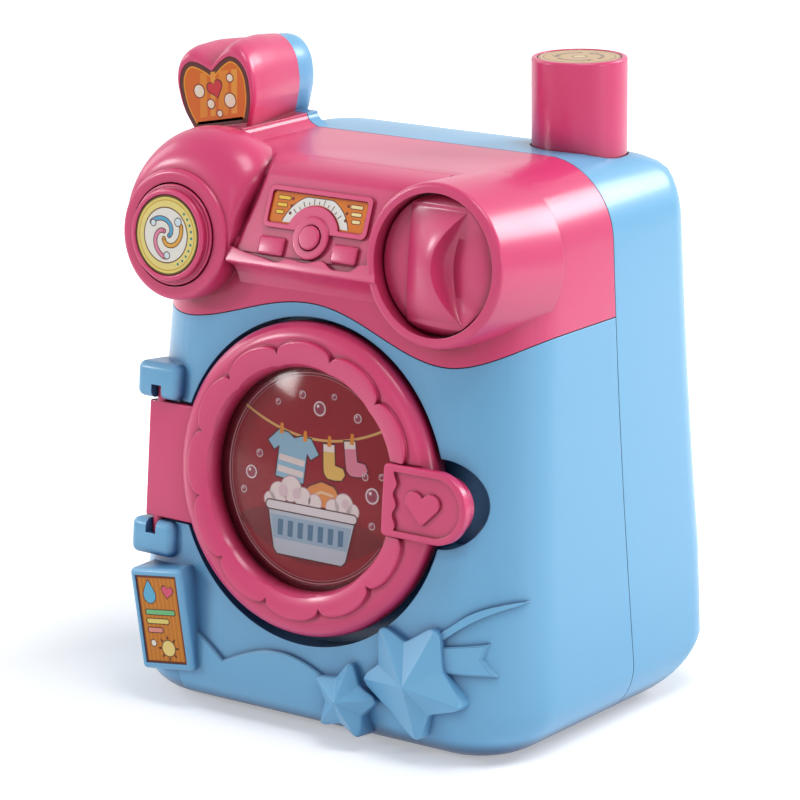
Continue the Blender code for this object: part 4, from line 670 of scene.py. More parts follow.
def body_levels(grow, steps, shares):
    levels = []
    for i in range(steps + 1):
        angle = math.pi / 2.0 * i / steps
        levels.append((base_edge_radius + grow) * (1.0 - math.cos(angle)) - grow)
    low = base_edge_radius
    high = body_top - top_side_radius
    levels.insert(2, (levels[1] + levels[2]) / 2.0)
    for share in shares:
        levels.append(low + (high - low) * share)
    for i in range(steps + 1):
        angle = math.pi / 2.0 * i / steps
        levels.append(body_top + grow - (top_side_radius + grow) * (1.0 - math.sin(angle)))
    return levels


def body_solid(grow):
    """The body's outside, grown outward, or its hollow, grown inward."""
    if grow < 0.0:
        levels = body_levels(grow, inner_edge_steps, (0.33, 0.67))
        rings = [body_ring(z, grow, inner_corner_steps) for z in levels]
    else:
        levels = body_levels(grow, edge_steps, (0.2, 0.4, 0.6, 0.8))
        rings = [body_ring(z, grow, corner_steps) for z in levels]
    return solid("body", rings, Matrix.Identity(4))


def seam_height(x):
    """The wavy seam of the hood, above the door's centre."""
    phase = (x - seam_crest_x) / seam_half_wave
    if phase > 1.0:
        return seam_right_height + seam_right_rise / 2.0 * (1.0 - math.cos(math.pi * (phase - 1.0)))
    if phase < -1.0:
        return seam_left_height + seam_left_rise / 2.0 * (1.0 - math.cos(math.pi * (phase + 1.0)))
    valley = seam_right_height if phase > 0.0 else seam_left_height
    return valley + (seam_crest_height - valley) / 2.0 * (1.0 + math.cos(math.pi * phase))


def seam_region(above):
    """Everything in front of the parting plane, above or below the seam."""
    side = base_half_width + overrun
    steps = 160
    half = gap / 2.0
    line = []
    for i in range(steps + 1):
        x = -side + 2.0 * side * i / steps
        shift = half if above else -half
        line.append((x, door_centre_height + seam_height(x) + shift))
    if above:
        far = body_top + heart_lobe_height
        outline = line + [(side, far), (-side, far)]
    else:
        outline = [(-side, -overrun), (side, -overrun)] + list(reversed(line))
    return prism(outline, face_y - parting_y - overrun, parting_y - half, Matrix.Identity(4))


# The console as it shows: a broad rounding into the crown and a thicker lip below
crown_round_front = 0.0050
crown_round_back = 0.0156
console_back_depth = 0.0345
console_left_x = -0.0306
console_left_slant = 0.26
console_back_slant = 0.60
console_round = 0.0024
ledge_proud = 0.0013
ledge_drop = 0.0047
ledge_left_x = -0.0313
ledge_round = 0.0004
ledge_wave = ((-0.0330, 0.0008), (-0.0309, 0.0004), (-0.0228, -0.0012), (-0.0174, -0.0019), (-0.0112, -0.0027),
              (-0.0069, -0.0012), (-0.0001, -0.0017), (0.0058, -0.0003), (0.0111, -0.0025), (0.0168, -0.0024),
              (0.0219, 0.0004), (0.0300, 0.0010), (0.0420, 0.0010))

# The knob's face
grip_foot_x = -0.0112
grip_crest_x = 0.0010
grip_fold_x = 0.0050
grip_tip_x = 0.0112
grip_tip_up = 0.0172
grip_floor = 0.0004
grip_lens_height = 0.0021


def cushion(outline, near, far, rounding, matrix, steps=6):
    """A plate whose front edge is rounded off."""
    rings = []
    for k in range(steps + 1):
        angle = math.pi / 2.0 * k / steps
        ring = offset_outline(outline, -rounding * (1.0 - math.sin(angle)))
        rings.append([(x, near + rounding * (1.0 - math.cos(angle)), z) for x, z in ring])
    rings.append([(x, far, z) for x, z in outline])
    return solid("plate", rings, matrix)


# Hood

def on_slope(up, proud=0.0):
    """Depth and height of a place on the panel, up from its foot and proud of it."""
    return (panel_foot_depth + up * math.sin(panel_lean) - proud * math.cos(panel_lean),
            panel_foot_height + up * math.cos(panel_lean) + proud * math.sin(panel_lean))


def console_outline(grow):
    """The console's side outline in depth and height: a flat panel that rolls over broadly into the crown."""
    crown = body_top - door_centre_height - small_round / 4.0
    corner_up = (crown - panel_foot_height) / math.cos(panel_lean)
    corner = on_slope(corner_up)
    low = ledge_bottom_height + ledge_drop
    roll = bowed((corner[0] + crown_round_back, crown), corner, on_slope(corner_up - crown_round_front), 18)
    points = [(console_back_depth, low), (console_back_depth, crown - small_round)] + roll
    points += [on_slope(-small_round), (hood_back_depth / 2.0, low)]
    return offset_outline(points, grow)


def console_left(depth, height):
    """The left end slants with the round shoulder beside it."""
    up = (height - panel_foot_height) / math.cos(panel_lean)
    top = on_slope(panel_length)
    return (console_left_x + console_left_slant * min(max(up, 0.0), panel_length)
            - console_back_slant * max(depth - top[0], 0.0))


def console_solid(grow):
    rows = []
    steps = 8 if grow == 0.0 else 0
    for k in range(steps + 1):
        angle = math.pi / 2.0 * k / steps if steps else math.pi / 2.0
        ahead = console_round * (1.0 - math.cos(angle)) if steps else -grow
        rows.append([(console_left(depth, height) + ahead, face_y + depth, door_centre_height + height)
                     for depth, height in console_outline(grow - console_round * (1.0 - math.sin(angle)))])
    rows.append([(hood_right_x, face_y + depth, door_centre_height + height)
                 for depth, height in console_outline(grow)])
    return solid("console", rows, Matrix.Identity(4))


def ledge():
    """A thicker lip along the panel's foot, hollow below, with a wavy upper edge."""
    face = math.tan(lean) * ledge_bottom_height
    fold = on_slope(-ledge_drop, ledge_proud)
    top = on_slope(0.0030, ledge_proud)
    under = bowed(fold, (face - 0.0016, fold[1] - 0.0014), (face, ledge_bottom_height), 10)
    deep = hood_back_depth * 0.55
    lip = soft([top, (*fold, small_round), under[4]], 6)[:-1]
    section = lip + under[4:] + [(deep, ledge_bottom_height), (deep, top[1])]
    rows = []
    for k in range(6):
        angle = math.pi / 2.0 * k / 5
        rows.append([(ledge_left_x + ledge_round * (1.0 - math.cos(angle)), face_y + depth, door_centre_height + height)
                     for depth, height in offset_outline(section, -ledge_round * (1.0 - math.sin(angle)))])
    rows.append([(hood_right_x - ledge_round, face_y + depth, door_centre_height + height)
                 for depth, height in section])
    lip = solid("ledge", rows, Matrix.Identity(4))
    wave = [(x, z) for x, z in finer(ledge_wave, 90)]
    above = [(wave[-1][0], 0.0150), (wave[0][0], 0.0150)]
    return cut(lip, prism(wave + above, -overrun, small_round / 2.0, on_panel(0.0, 0.0)))


def dial_pod(grow):
    front = -dial_pod_proud - grow
    end = front + dial_pod_length
    near = dial_pod_radius + grow
    return turned("pod", soft([
        (0.0, front), (near, front, 1.3 * dial_lip_round), (near + dial_pod_draft, end),
        (near - dial_pod_taper, end + dial_pod_taper / 2.0), (0.0, end + dial_pod_taper / 2.0)]),
        leaning(dial_x, dial_up))


def button_pod(grow):
    front = -button_pod_proud - grow
    end = front + button_pod_length
    near = button_pod_radius + grow
    return turned("pod", soft([(0.0, front), (near, front, 1.2 * button_lip_round), (near, end), (0.0, end)]),
                  leaning(button_x, button_up))


def bulb_reach(angle):
    """How wide the shoulder swells round the pod: not at the lower right, most at the upper right."""
    away = abs((angle + math.radians(210.0)) % (2.0 * math.pi) - math.pi)
    share = min(max((away - math.radians(30.0)) / math.radians(36.0), 0.0), 1.0)
    near = button_pod_radius - small_round
    most = bulb_radius + 0.0012 * math.exp(-((away - math.radians(70.0)) / math.radians(28.0)) ** 2) * (angle < math.pi)
    return near + (most - near) * share * share * (3.0 - 2.0 * share)


def bulb(grow):
    """A round shoulder that swells up and back from the pod's lip and closes inside the body."""
    steps = 4 if grow < 0.0 else 18
    sides = 20 if grow < 0.0 else 108
    start = button_lip_round - button_pod_proud - grow
    near = button_pod_radius - small_round
    rings = [[(button_x, start, button_up)]]
    turns = [2.0 * math.pi * k / sides for k in range(sides)]
    for i in range(steps + 1):
        swell = math.sin(math.pi / 2.0 * i / steps)
        depth = start + (bulb_depth - start) * (1.0 - math.cos(math.pi / 2.0 * i / steps))
        x = button_x + (bulb_x - button_x) * swell
        up = button_up + (bulb_up - button_up) * swell
        reach = [near + (bulb_reach(turn) - near) * swell + grow for turn in turns]
        rings.append([(x + r * math.cos(t), depth, up + r * math.sin(t)) for r, t in zip(reach, turns)])
    for i in range(1, steps):
        angle = math.pi / 2.0 * i / steps
        depth = bulb_depth + (bulb_radius + grow) * math.sin(angle)
        reach = [(bulb_reach(turn) + grow) * math.cos(angle) for turn in turns]
        rings.append([(bulb_x + r * math.cos(t), depth, bulb_up + r * math.sin(t)) for r, t in zip(reach, turns)])
    rings.append([(bulb_x, bulb_depth + bulb_radius + grow, bulb_up)])
    return solid("bulb", rings, leaning(0.0, 0.0))


def heart_outline(across_share, up_share, top_share, grow, steps=12):
    """The right half from the notch over its lobe to the tip, then the left half. Counter-clockwise."""
    top_x = heart_half_width * top_share
    right = []
    for i in range(steps):
        along = i / steps
        right.append((top_x * along, heart_lobe_half_height - heart_notch_drop * (1.0 - along) ** notch_curve))
    for i in range(steps + 1):
        angle = math.pi / 2.0 * (1.0 - i / steps)
        right.append((top_x + (heart_half_width - top_x) * math.cos(angle),
                      heart_lobe_half_height * math.sin(angle)))
    flank = [(0.0, 1.0, 0.0)] + [(down, across, down) for across, down in heart_flank_shares]
    for _, across, down in finer(flank, 2 * steps)[1:]:
        right.append((heart_half_width * across, -heart_lower_drop * down))
    points = right + [(0.0, -heart_lower_drop)] + [(-x, z) for x, z in reversed(right[1:])]
    points.reverse()
    scaled = [(x * across_share, z * (up_share if z > 0.0 else across_share)) for x, z in points]
    return offset_outline(scaled, grow) if grow else scaled


def heart_frame(drift):
    """The heart leans outward, and drifts outward towards its back."""
    x = heart_x - heart_half_width * drift
    return upright(x, heart_lobe_height) @ Matrix.Rotation(-heart_turn, 4, "Y")


def heart_ring(section, depth, grow, steps):
    across, up, drift, top = section
    placed = heart_frame(drift)
    return [placed @ Vector((x, depth, z)) for x, z in heart_outline(across, up, top, grow, steps)]


def heart_solid(grow, rear):
    """A full heart. Its front half ends past the parting plane, and so does its rear half."""
    start = heart_front_depth - grow
    parting = parting_y - face_y
    overlap = overrun / 2.0 - grow
    steps = 3 if grow < 0.0 else 12
    rings = []
    if not rear:
        shares = heart_front_shares[::2] + heart_front_shares[-1:] if grow < 0.0 else finer(heart_front_shares, 40)
        for along, *section in shares:
            rings.append(heart_ring(section, start + (parting - start) * along, grow, steps))
        rings.append([point + Vector((0.0, overlap, 0.0)) for point in rings[-1]])
    else:
        shares = heart_rear_shares if grow < 0.0 else finer(heart_rear_shares, 16)
        for along, *section in shares:
            rings.append(heart_ring(section, parting + (heart_rear_thickness + grow) * along, grow, steps))
        rings.insert(0, [point - Vector((0.0, overlap, 0.0)) for point in rings[0]])
    return solid("heart", rings, Matrix.Identity(4))


def heart_foot(rear):
    crown = body_top - door_centre_height
    side = heart_x + heart_half_width * 0.89
    outline = [(side - heart_foot_width, crown - heart_foot_height), (side + heart_foot_width, crown - small_round)]
    outline += [(side + heart_foot_width * (1.0 - math.sin(math.pi / 2.0 * t)),
                 crown + heart_foot_height * (1.0 - math.cos(math.pi / 2.0 * t))) for t in (0.3, 0.5, 0.7, 0.85, 1.0)]
    outline.append((side - heart_foot_width, crown + heart_foot_height))
    parting = parting_y - face_y
    if rear:
        return prism(outline, parting - overrun / 2.0, parting + heart_rear_thickness / 2.0, upright(0.0, 0.0))
    return prism(outline, heart_foot_front_depth, parting + overrun / 2.0, upright(0.0, 0.0))


def rounded_rectangle(width, height, radius, centre=(0.0, 0.0), steps=8):
    quarter = math.pi / 2.0
    x = width / 2.0 - radius
    z = height / 2.0 - radius
    points = []
    for turn, (cx, cz) in enumerate(((x, -z), (x, z), (-x, z), (-x, -z))):
        points += arc((centre[0] + cx, centre[1] + cz), radius, (turn - 1) * quarter, turn * quarter, steps)
    return points


def display_outline(grow):
    """The display's outline with a round notch that follows the start button's ring."""
    width = bezel_width - 2.0 * bezel_rim + 2.0 * grow
    height = bezel_height - 2.0 * bezel_rim + 2.0 * grow
    points = rounded_rectangle(width, height, bezel_corner / 2.0, (bezel_centre_x, bezel_centre_up))
    bottom = bezel_centre_up - height / 2.0
    radius = arch_radius - grow
    drop = bottom - start_up
    half = math.sqrt(radius * radius - drop * drop)
    angle = math.asin(drop / radius)
    notch = arc((start_x, start_up), radius, math.pi - angle, angle, 32)
    first = [point for point in points if not (abs(point[0]) < half and point[1] < bezel_centre_up)]
    split = max(range(len(first)), key=lambda i: (first[i][1] <= bottom + gap and first[i][0] < 0.0) * (i + 1))
    return first[:split + 1] + notch + first[split + 1:]


def boss_place(height, side):
    x = half_width(height) - wall - boss_inset
    return Matrix.Translation((side * x, face_y, height))


def rib(height, side, start, end):
    """A rib from a boss to the side wall."""
    reach = boss_inset + wall * rib_sink_share
    low = min(0.0, side * reach)
    return box((low, start, -rib_half_width), (low + reach, end, rib_half_width), boss_place(height, side))


def front_boss(height, side):
    depth = parting_y - gap / 2.0 - face_y
    boss = cylinder(boss_radius, boss_front_depth, depth + gap, boss_place(height, side))
    return add(boss, rib(height, side, boss_front_depth + small_round, depth + gap))


def recess_cut(grow):
    sides = 48 if grow > 0.0 else door_sides
    return cylinder(recess_radius + grow, -overrun, recess_depth + grow, leaning(0.0, -recess_drop), sides)


def finger_cut(grow):
    sides = 24 if grow > 0.0 else 96
    return cylinder(finger_radius + grow, -overrun, finger_depth + grow, leaning(finger_x, 0.0), sides)


def hinge_cuts(grow):
    """The pocket behind the door's leaf and the groove round its pins."""
    low = (leaf_left_x - leaf_pocket_gap - grow, -overrun, leaf_bottom - leaf_pocket_gap - grow)
    high = (-recess_radius + overrun, hinge_depth + leaf_thickness / 2.0 + leaf_pocket_gap + grow,
            leaf_top + leaf_pocket_gap + grow)
    reach = math.hypot(hinge_x - leaf_left_x, leaf_thickness / 2.0) + leaf_swing_gap + grow
    groove = turned("groove", [(0.0, low[2]), (reach, low[2]), (reach, high[2]), (0.0, high[2])],
                    leaning(hinge_x, 0.0, hinge_depth) @ Matrix.Rotation(math.pi / 2.0, 4, "X"),
                    small_sides if grow == 0.0 else 12)
    return box(low, high, leaning(0.0, 0.0)), groove


def collar_cut(grow):
    """The collar round the drum's mouth ends at its own depth. Its bore runs through."""
    end = collar_end_depth if grow > 0.0 else collar_end_depth + overrun
    return cylinder(collar_radius + grow, -overrun, end, upright(0.0, 0.0), 44 if grow > 0.0 else 120)


def box_frame():
    """The frame of the picture box: turned on the face, its front leaning further back."""
    slope = math.atan2(picture_box_top_proud - picture_box_bottom_proud, picture_box_height)
    middle = (picture_box_top_proud + picture_box_bottom_proud) / 2.0
    return (leaning(picture_box_x, picture_box_up, -middle)
            @ Matrix.Rotation(-picture_box_turn, 4, "Y") @ Matrix.Rotation(slope, 4, "X"))


def picture_box(grow):
    half = picture_box_width / 2.0 + grow
    tall = picture_box_height / 2.0 + grow
    deep = picture_box_back_depth + picture_box_top_proud
    return box((-half, -grow, -tall), (half, deep, tall), box_frame(), picture_box_round, 2 if grow < 0.0 else 6)


def reach_at(outline, turn):
    """How far an outline round the origin lies out at an angle."""
    aim = Vector((math.cos(turn), math.sin(turn)))
    best = 0.0
    for k in range(len(outline)):
        a, b = Vector(outline[k - 1]), Vector(outline[k])
        across = b - a
        under = aim.x * across.y - aim.y * across.x
        if abs(under) > 1e-12:
            far = (a.x * across.y - a.y * across.x) / under
            along = (a.x * aim.y - a.y * aim.x) / under
            if -1e-6 <= along <= 1.000001:
                best = max(best, far)
    return best


def star(x, up, points):
    """A raised star with rounded points and ten flat sloping facets that meet in sharp ridges."""
    turns = [math.radians(turn) for radius, turn in points]
    sharp = [(radius * math.cos(turn), radius * math.sin(turn)) for (radius, away), turn in zip(points, turns)]
    outline = soft([(a, b, 0.0009 if k % 2 else points[k][0] * star_tip_share) for k, (a, b) in enumerate(sharp)], 8)
    between = []
    for k, turn in enumerate(turns):
        after = turns[(k + 1) % len(turns)] + (2.0 * math.pi if k + 1 == len(turns) else 0.0)
        between += [turn + (after - turn) * share / 8.0 for share in range(8)]
    edge = [reach_at(outline, turn) for turn in between]
    full = [reach_at(sharp, turn) for turn in between]
    rings = [[(r * math.cos(t), star_point_depth, r * math.sin(t)) for r, t in zip(edge, between)]]
    for k in range(5):
        angle = math.pi / 2.0 * k / 4
        row = []
        for r, most, t in zip(edge, full, between):
            r -= star_edge_round * (1.0 - math.cos(angle))
            high = star_side_proud + (star_apex_proud - star_side_proud) * (1.0 - r / most)
            row.append((r * math.cos(t), star_edge_round * (1.0 - math.sin(angle)) - high, r * math.sin(t)))
        rings.append(row)
    rings.append([(0.0, -star_apex_proud, 0.0)])
    return solid("star", rings, leaning(x, up))


def even_star(radius, inner, turn):
    return [(radius if k % 2 == 0 else inner, turn + 36.0 * k) for k in range(10)]


star_tip_share = 0.25
star_edge_round = 0.0007
big_star_points = ((0.0226, 67.8), (0.0136, 107.0), (0.0233, 129.1), (0.0142, 162.6), (0.0208, 184.0),
                   (0.0126, 234.0), (0.0190, 279.6), (0.0106, 308.4), (0.0208, 348.3), (0.0124, 391.0))


def relief(outline, matrix):
    """An outline on the face, raised a little above the body's skin, with a stepped soft edge."""
    low = keep(prism(outline, -overrun, front_corner_radius, matrix), body_solid(relief_raise * 0.62))
    middle = prism(offset_outline(outline, -relief_raise * 0.12), -overrun, front_corner_radius * 0.98, matrix)
    high = prism(offset_outline(outline, -relief_raise * 0.42), -overrun, front_corner_radius * 0.96, matrix)
    return [low, keep(middle, body_solid(relief_raise * 0.88)), keep(high, body_solid(relief_raise))]


upper_ribbon_shares = (
    (0.10, 0.20), (0.36, 0.49), (0.54, 0.66), (0.70, 0.79), (0.84, 0.88), (0.96, 0.94), (1.00, 1.00),
    (0.77, 0.93), (0.59, 0.83), (0.42, 0.66), (0.24, 0.50),
)
lower_ribbon_shares = (
    (0.10, 0.00), (0.36, 0.125), (0.85, 0.14), (0.73, 0.33), (0.77, 0.51), (0.33, 0.42), (0.10, 0.40),
)


def ribbon(shares, rounds):
    """A ribbon's outline, its corners cut off round by round into curves."""
    outline = [(across * ribbon_reach, up * ribbon_rise) for across, up in shares]
    for _ in range(rounds):
        finer_outline = []
        for k in range(len(outline)):
            a, b = Vector(outline[k]), Vector(outline[(k + 1) % len(outline)])
            finer_outline += [tuple(a * 0.75 + b * 0.25), tuple(a * 0.25 + b * 0.75)]
        outline = finer_outline
    return relief(outline, leaning(big_star_x, big_star_up))


def cloud():
    """A low bank below a line of two humps, from the picture box to the small star."""
    steps = 24
    line = []
    for i in range(steps + 1):
        share = i / steps
        x = cloud_left_x + (cloud_cusp_x - cloud_left_x) * share
        line.append((x, cloud_cusp_up + cloud_left_rise * math.cos(math.pi / 2.0 * share)))
    for i in range(1, steps + 1):
        share = i / steps
        x = cloud_cusp_x + (cloud_right_x - cloud_cusp_x) * share
        line.append((x, cloud_cusp_up + cloud_hump_rise * math.sin(math.pi * share)))
    foot = -door_centre_height + base_edge_radius / 4.0
    outline = [(cloud_left_x, foot), (cloud_right_x, foot)] + list(reversed(line))
    return relief(outline, leaning(0.0, 0.0))


def bracket_cuts(low, high, upper):
    radius = hinge_pin_radius + gap
    reach = hinge_pin_reach + gap
    start = low - overrun / 4.0 if upper else high - reach
    end = low + reach if upper else high + overrun / 4.0
    placed = leaning(hinge_x, 0.0, hinge_depth) @ Matrix.Rotation(math.pi / 2.0, 4, "X")
    bore = cylinder(radius, start, end, placed, small_sides)
    slot_low = start if upper else high - bracket_slot_length
    slot_high = low + bracket_slot_length if upper else end
    slot = box((hinge_x - radius * 0.9, -overrun, slot_low), (hinge_x + radius * 0.9, hinge_depth, slot_high),
               leaning(0.0, 0.0))
    return bore, slot


def make_front_shell():
    shell = body_solid(0.0)
    upper_low = leaf_top + leaf_pocket_gap
    lower_low = leaf_bottom - leaf_pocket_gap - bracket_height
    for low in (upper_low, lower_low):
        add(shell, box((bracket_left_x, -bracket_front_proud, low),
                       (bracket_right_x, bracket_back_depth, low + bracket_height),
                       leaning(0.0, 0.0), bracket_round, 6))
    add(shell, picture_box(0.0))
    add(shell, *ribbon(upper_ribbon_shares, 2), *ribbon(lower_ribbon_shares, 0), *cloud())
    add(shell, star(0.0457, -0.0575, big_star_points))
    add(shell, star(small_star_x, small_star_up,
                    even_star(small_star_radius * 1.13, small_star_inner_radius, math.degrees(small_star_turn))))
    cavity = body_solid(-wall)
    add(cavity, picture_box(-wall))
    cut(cavity, recess_cut(wall), finger_cut(wall), *hinge_cuts(wall), collar_cut(wall))
    cut(shell, cavity)
    for height in (low_boss_height, middle_boss_height):
        for side in (-1.0, 1.0):
            add(shell, front_boss(height, side))
    cut(shell, recess_cut(0.0), finger_cut(0.0), *hinge_cuts(0.0), collar_cut(0.0))
    cut(shell, *bracket_cuts(upper_low, upper_low + bracket_height, True))
    cut(shell, *bracket_cuts(lower_low, lower_low + bracket_height, False))
    half = picture_box_width / 2.0 - picture_rim
    tall = picture_box_height / 2.0 - picture_rim
    cut(shell, box((-half, -overrun, -tall), (half, picture_pocket, tall), box_frame()))
    return keep(shell, seam_region(False))


def make_picture_label():
    half = picture_box_width / 2.0 - picture_rim - label_gap
    tall = picture_box_height / 2.0 - picture_rim - label_gap
    near = picture_pocket - label_gap - picture_label_thickness
    return box((-half, near, -tall), (half, near + picture_label_thickness, tall), box_frame())


def start_pocket(grow):
    return cylinder(start_button_radius + gap + grow, -overrun, start_pocket_depth + grow * start_floor / wall,
                    on_panel(start_x, start_up), 20 if grow > 0.0 else 64)


def dial_bore(grow):
    depth = dial_bore_depth - dial_pod_proud
    return cylinder(dial_bore_radius + grow, -overrun - dial_pod_proud, depth + grow,
                    leaning(dial_x, dial_up), 32 if grow > 0.0 else round_sides)


def button_bore(grow):
    depth = button_bore_depth - button_pod_proud
    return cylinder(button_bore_radius + grow, -overrun - button_pod_proud, depth + grow,
                    leaning(button_x, button_up), 32 if grow > 0.0 else round_sides)


def badge_outline(grow):
    """The heart badge in the heart's own frame, with its tip cut off straight."""
    full = heart_outline(badge_share, badge_share * 0.90, badge_top_share, 0.0)
    points = [(x, z - badge_drop) for x, z in full]
    floor = -badge_cut_drop - badge_drop
    upper = [(x, z) for x, z in points if z > floor]
    edge = 0.0
    for (x0, z0), (x1, z1) in zip(points, points[1:] + points[:1]):
        if (z0 - floor) * (z1 - floor) < 0.0:
            edge = max(edge, abs(x0 + (x1 - x0) * (floor - z0) / (z1 - z0)))
    right = [point for point in upper if point[0] > 0.0]
    left = [point for point in upper if point[0] < 0.0]
    notch = [point for point in upper if point[0] == 0.0]
    outline = [(-edge, floor), (edge, floor)] + right + notch + left
    return offset_outline(outline, grow)


def make_hood():
    hood = body_solid(0.0)
    add(hood, console_solid(0.0), ledge(), dial_pod(0.0), bulb(0.0), button_pod(0.0))
    add(hood, heart_solid(0.0, False), heart_foot(False))
    panel = on_panel(0.0, 0.0)
    sunk = wall / 2.0
    bezel = rounded_rectangle(bezel_width, bezel_height, bezel_corner, (bezel_centre_x, bezel_centre_up))
    add(hood, prism(bezel, -bezel_raise, sunk, panel))
    front = -start_ring_raise
    add(hood, turned("ring", soft([(0.0, front), (start_ring_radius, front, 0.0007), (start_ring_radius, sunk),
                                   (0.0, sunk)]), on_panel(start_x, start_up), 72))
    for x, up in ((left_key_x, left_key_up), (right_key_x, right_key_up)):
        add(hood, box((-key_width / 2.0, -key_raise, -key_height / 2.0),
                      (key_width / 2.0, sunk, key_height / 2.0), on_panel(x, up), key_round, 6))
    cavity = body_solid(-wall)
    add(cavity, console_solid(-wall), dial_pod(-wall), bulb(-wall), heart_solid(-wall, False))
    cut(cavity, dial_bore(wall), button_bore(wall), start_pocket(wall))
    cut(hood, cavity)
    for side in (-1.0, 1.0):
        add(hood, front_boss(top_boss_height, side))
    cut(hood, dial_bore(0.0), button_bore(0.0), start_pocket(0.0))
    cut(hood, cylinder(dial_shaft_radius + gap, -overrun, overrun, leaning(dial_x, dial_up)))
    cut(hood, cylinder(button_stem_radius + gap, -overrun, overrun, leaning(button_x, button_up)))
    cut(hood, cylinder(start_stem_radius + gap, -overrun, overrun + start_pocket_depth, on_panel(start_x, start_up)))
    cut(hood, prism(display_outline(0.0), -overrun / 2.0, display_pocket_depth - bezel_raise, panel))
    cut(hood, prism(badge_outline(label_gap), heart_front_depth - overrun / 2.0,
                    heart_front_depth + badge_pocket, heart_frame(0.0)))
    return keep(hood, seam_region(True))


def make_display_label():
    back = display_pocket_depth - bezel_raise - label_gap
    return prism(display_outline(-label_gap), back - display_label_thickness, back, on_panel(0.0, 0.0))


def make_heart_badge():
    back = heart_front_depth + badge_pocket - label_gap
    return prism(badge_outline(0.0), back - badge_thickness, back, heart_frame(0.0))


# Rear shell

def rear_boss(height, side):
    start = parting_y - face_y
    end = back_at(height) - face_y
    boss = cylinder(boss_radius, start, end, boss_place(height, side))
    keep(boss, body_solid(-wall * (1.0 - rib_sink_share)))
    return add(boss, rib(height, side, start, end - rear_corner_radius - wall))


def rear_boss_cuts(height, side):
    near = parting_y - face_y
    seat = near + head_seat_depth
    hole = cylinder(screw_hole_radius, near - overrun, seat + gap, boss_place(height, side), 16)
    well = cylinder(head_well_radius, seat, back_at(height) - face_y + overrun, boss_place(height, side), 40)
    return hole, well


def make_rear_shell():
    shell = body_solid(0.0)
    add(shell, heart_solid(0.0, True), heart_foot(True))
    cavity = body_solid(-wall)
    add(cavity, heart_solid(-wall, True))
    cut(shell, cavity)
    heights = (low_boss_height, middle_boss_height, top_boss_height)
    for height in heights:
        for side in (-1.0, 1.0):
            add(shell, rear_boss(height, side))
    for height in heights:
        for side in (-1.0, 1.0):
            cut(shell, *rear_boss_cuts(height, side))
    top = body_top - door_centre_height
    placed = upright(plunger_x, 0.0, plunger_depth) @ Matrix.Rotation(math.pi / 2.0, 4, "X")
    inner = plunger_radius + plunger_clearance
    low = top - guide_length - wall
    guide = cylinder(inner + guide_wall, low, top, placed, round_sides)
    add(shell, keep(guide, body_solid(-wall / 2.0)))
    cut(shell, cylinder(inner, low - overrun, top + overrun, placed, round_sides))
    return keep(shell, box((-base_half_width - overrun, parting_y + gap / 2.0, -overrun),
                           (base_half_width + overrun, back_y_at_base + overrun, body_top + heart_lobe_height),
                           Matrix.Identity(4)))


def plunger_frame():
    return upright(plunger_x, 0.0, plunger_depth) @ Matrix.Rotation(math.pi / 2.0, 4, "X")


def make_plunger():
    inner = plunger_radius - thin_wall
    top = plunger_top_height
    low = plunger_bottom_height
    rim = plunger_label_radius + gap
    floor = top - plunger_label_pocket
    return turned("plunger", [(0.0, floor)] + soft([
        (rim, floor), (rim, top, 0.0005), (plunger_radius, top, 0.0010),
        (plunger_radius, low + plunger_lip_thickness), (plunger_lip_radius, low + plunger_lip_thickness),
        (plunger_lip_radius, low), (inner, low), (inner, floor - plunger_top_wall)])
        + [(0.0, floor - plunger_top_wall)], plunger_frame())


# Door

def ring_front(radius):
    """The door ring's front surface: how far it stands proud at a radius, before the scallops."""
    if radius >= ring_crest_radius:
        share = (radius - ring_crest_radius) / (door_radius - ring_crest_radius)
        return ring_crest_proud * math.sqrt(max(1.0 - share * share, 0.0))
    share = (ring_crest_radius - radius) / (ring_crest_radius - window_radius)
    return ring_rim_proud + (ring_crest_proud - ring_rim_proud) * math.sqrt(max(1.0 - share * share, 0.0))


def scallop_radius(angle):
    """Twelve lobes with sharp cusps between them."""
    phase = (angle / (2.0 * math.pi) * scallop_lobes + 0.5) % 1.0
    across = 2.0 * phase - 1.0
    return scallop_cusp_radius + scallop_depth * math.sqrt(max(1.0 - across * across, 0.0))


def ring_section(angle):
    """The section's points of radius and depth at an angle."""
    edge = scallop_radius(angle)
    points = [(window_radius, -ring_rim_proud + small_round), (window_radius + 0.0002, -ring_rim_proud)]
    flat = edge - 0.0009
    for share in (0.06, 0.12, 0.2, 0.35, 0.5, 0.65, 0.8, 0.9, 1.0):
        radius = window_radius + (flat - window_radius) * share
        points.append((radius, -ring_front(radius) - scallop_raise * min(1.0, share / 0.2)))
    front = ring_front(edge)
    for back, share in ((0.0005, 0.98), (0.0002, 0.88), (0.00005, 0.68), (0.0, 0.45), (-0.00005, 0.15), (-0.0002, -0.06),
                        (-0.00045, -0.06)):
        points.append((edge - back, -front - scallop_raise * share))
    start = edge + scallop_slope
    for share in (0.0, 0.12, 0.25, 0.38, 0.5, 0.6, 0.7, 0.8, 0.87, 0.93, 0.975):
        radius = start + (door_radius - start) * share
        points.append((radius, -ring_front(radius)))
    points += [(door_radius, 0.0), (door_radius, ring_back_depth / 4.0),
               (door_radius - small_round, ring_back_depth / 2.0),
               (door_radius - ring_back_depth / 3.0, ring_back_depth),
               (window_seat_radius, ring_back_depth), (window_seat_radius, window_seat_depth),
               (window_radius, window_seat_depth)]
    return points


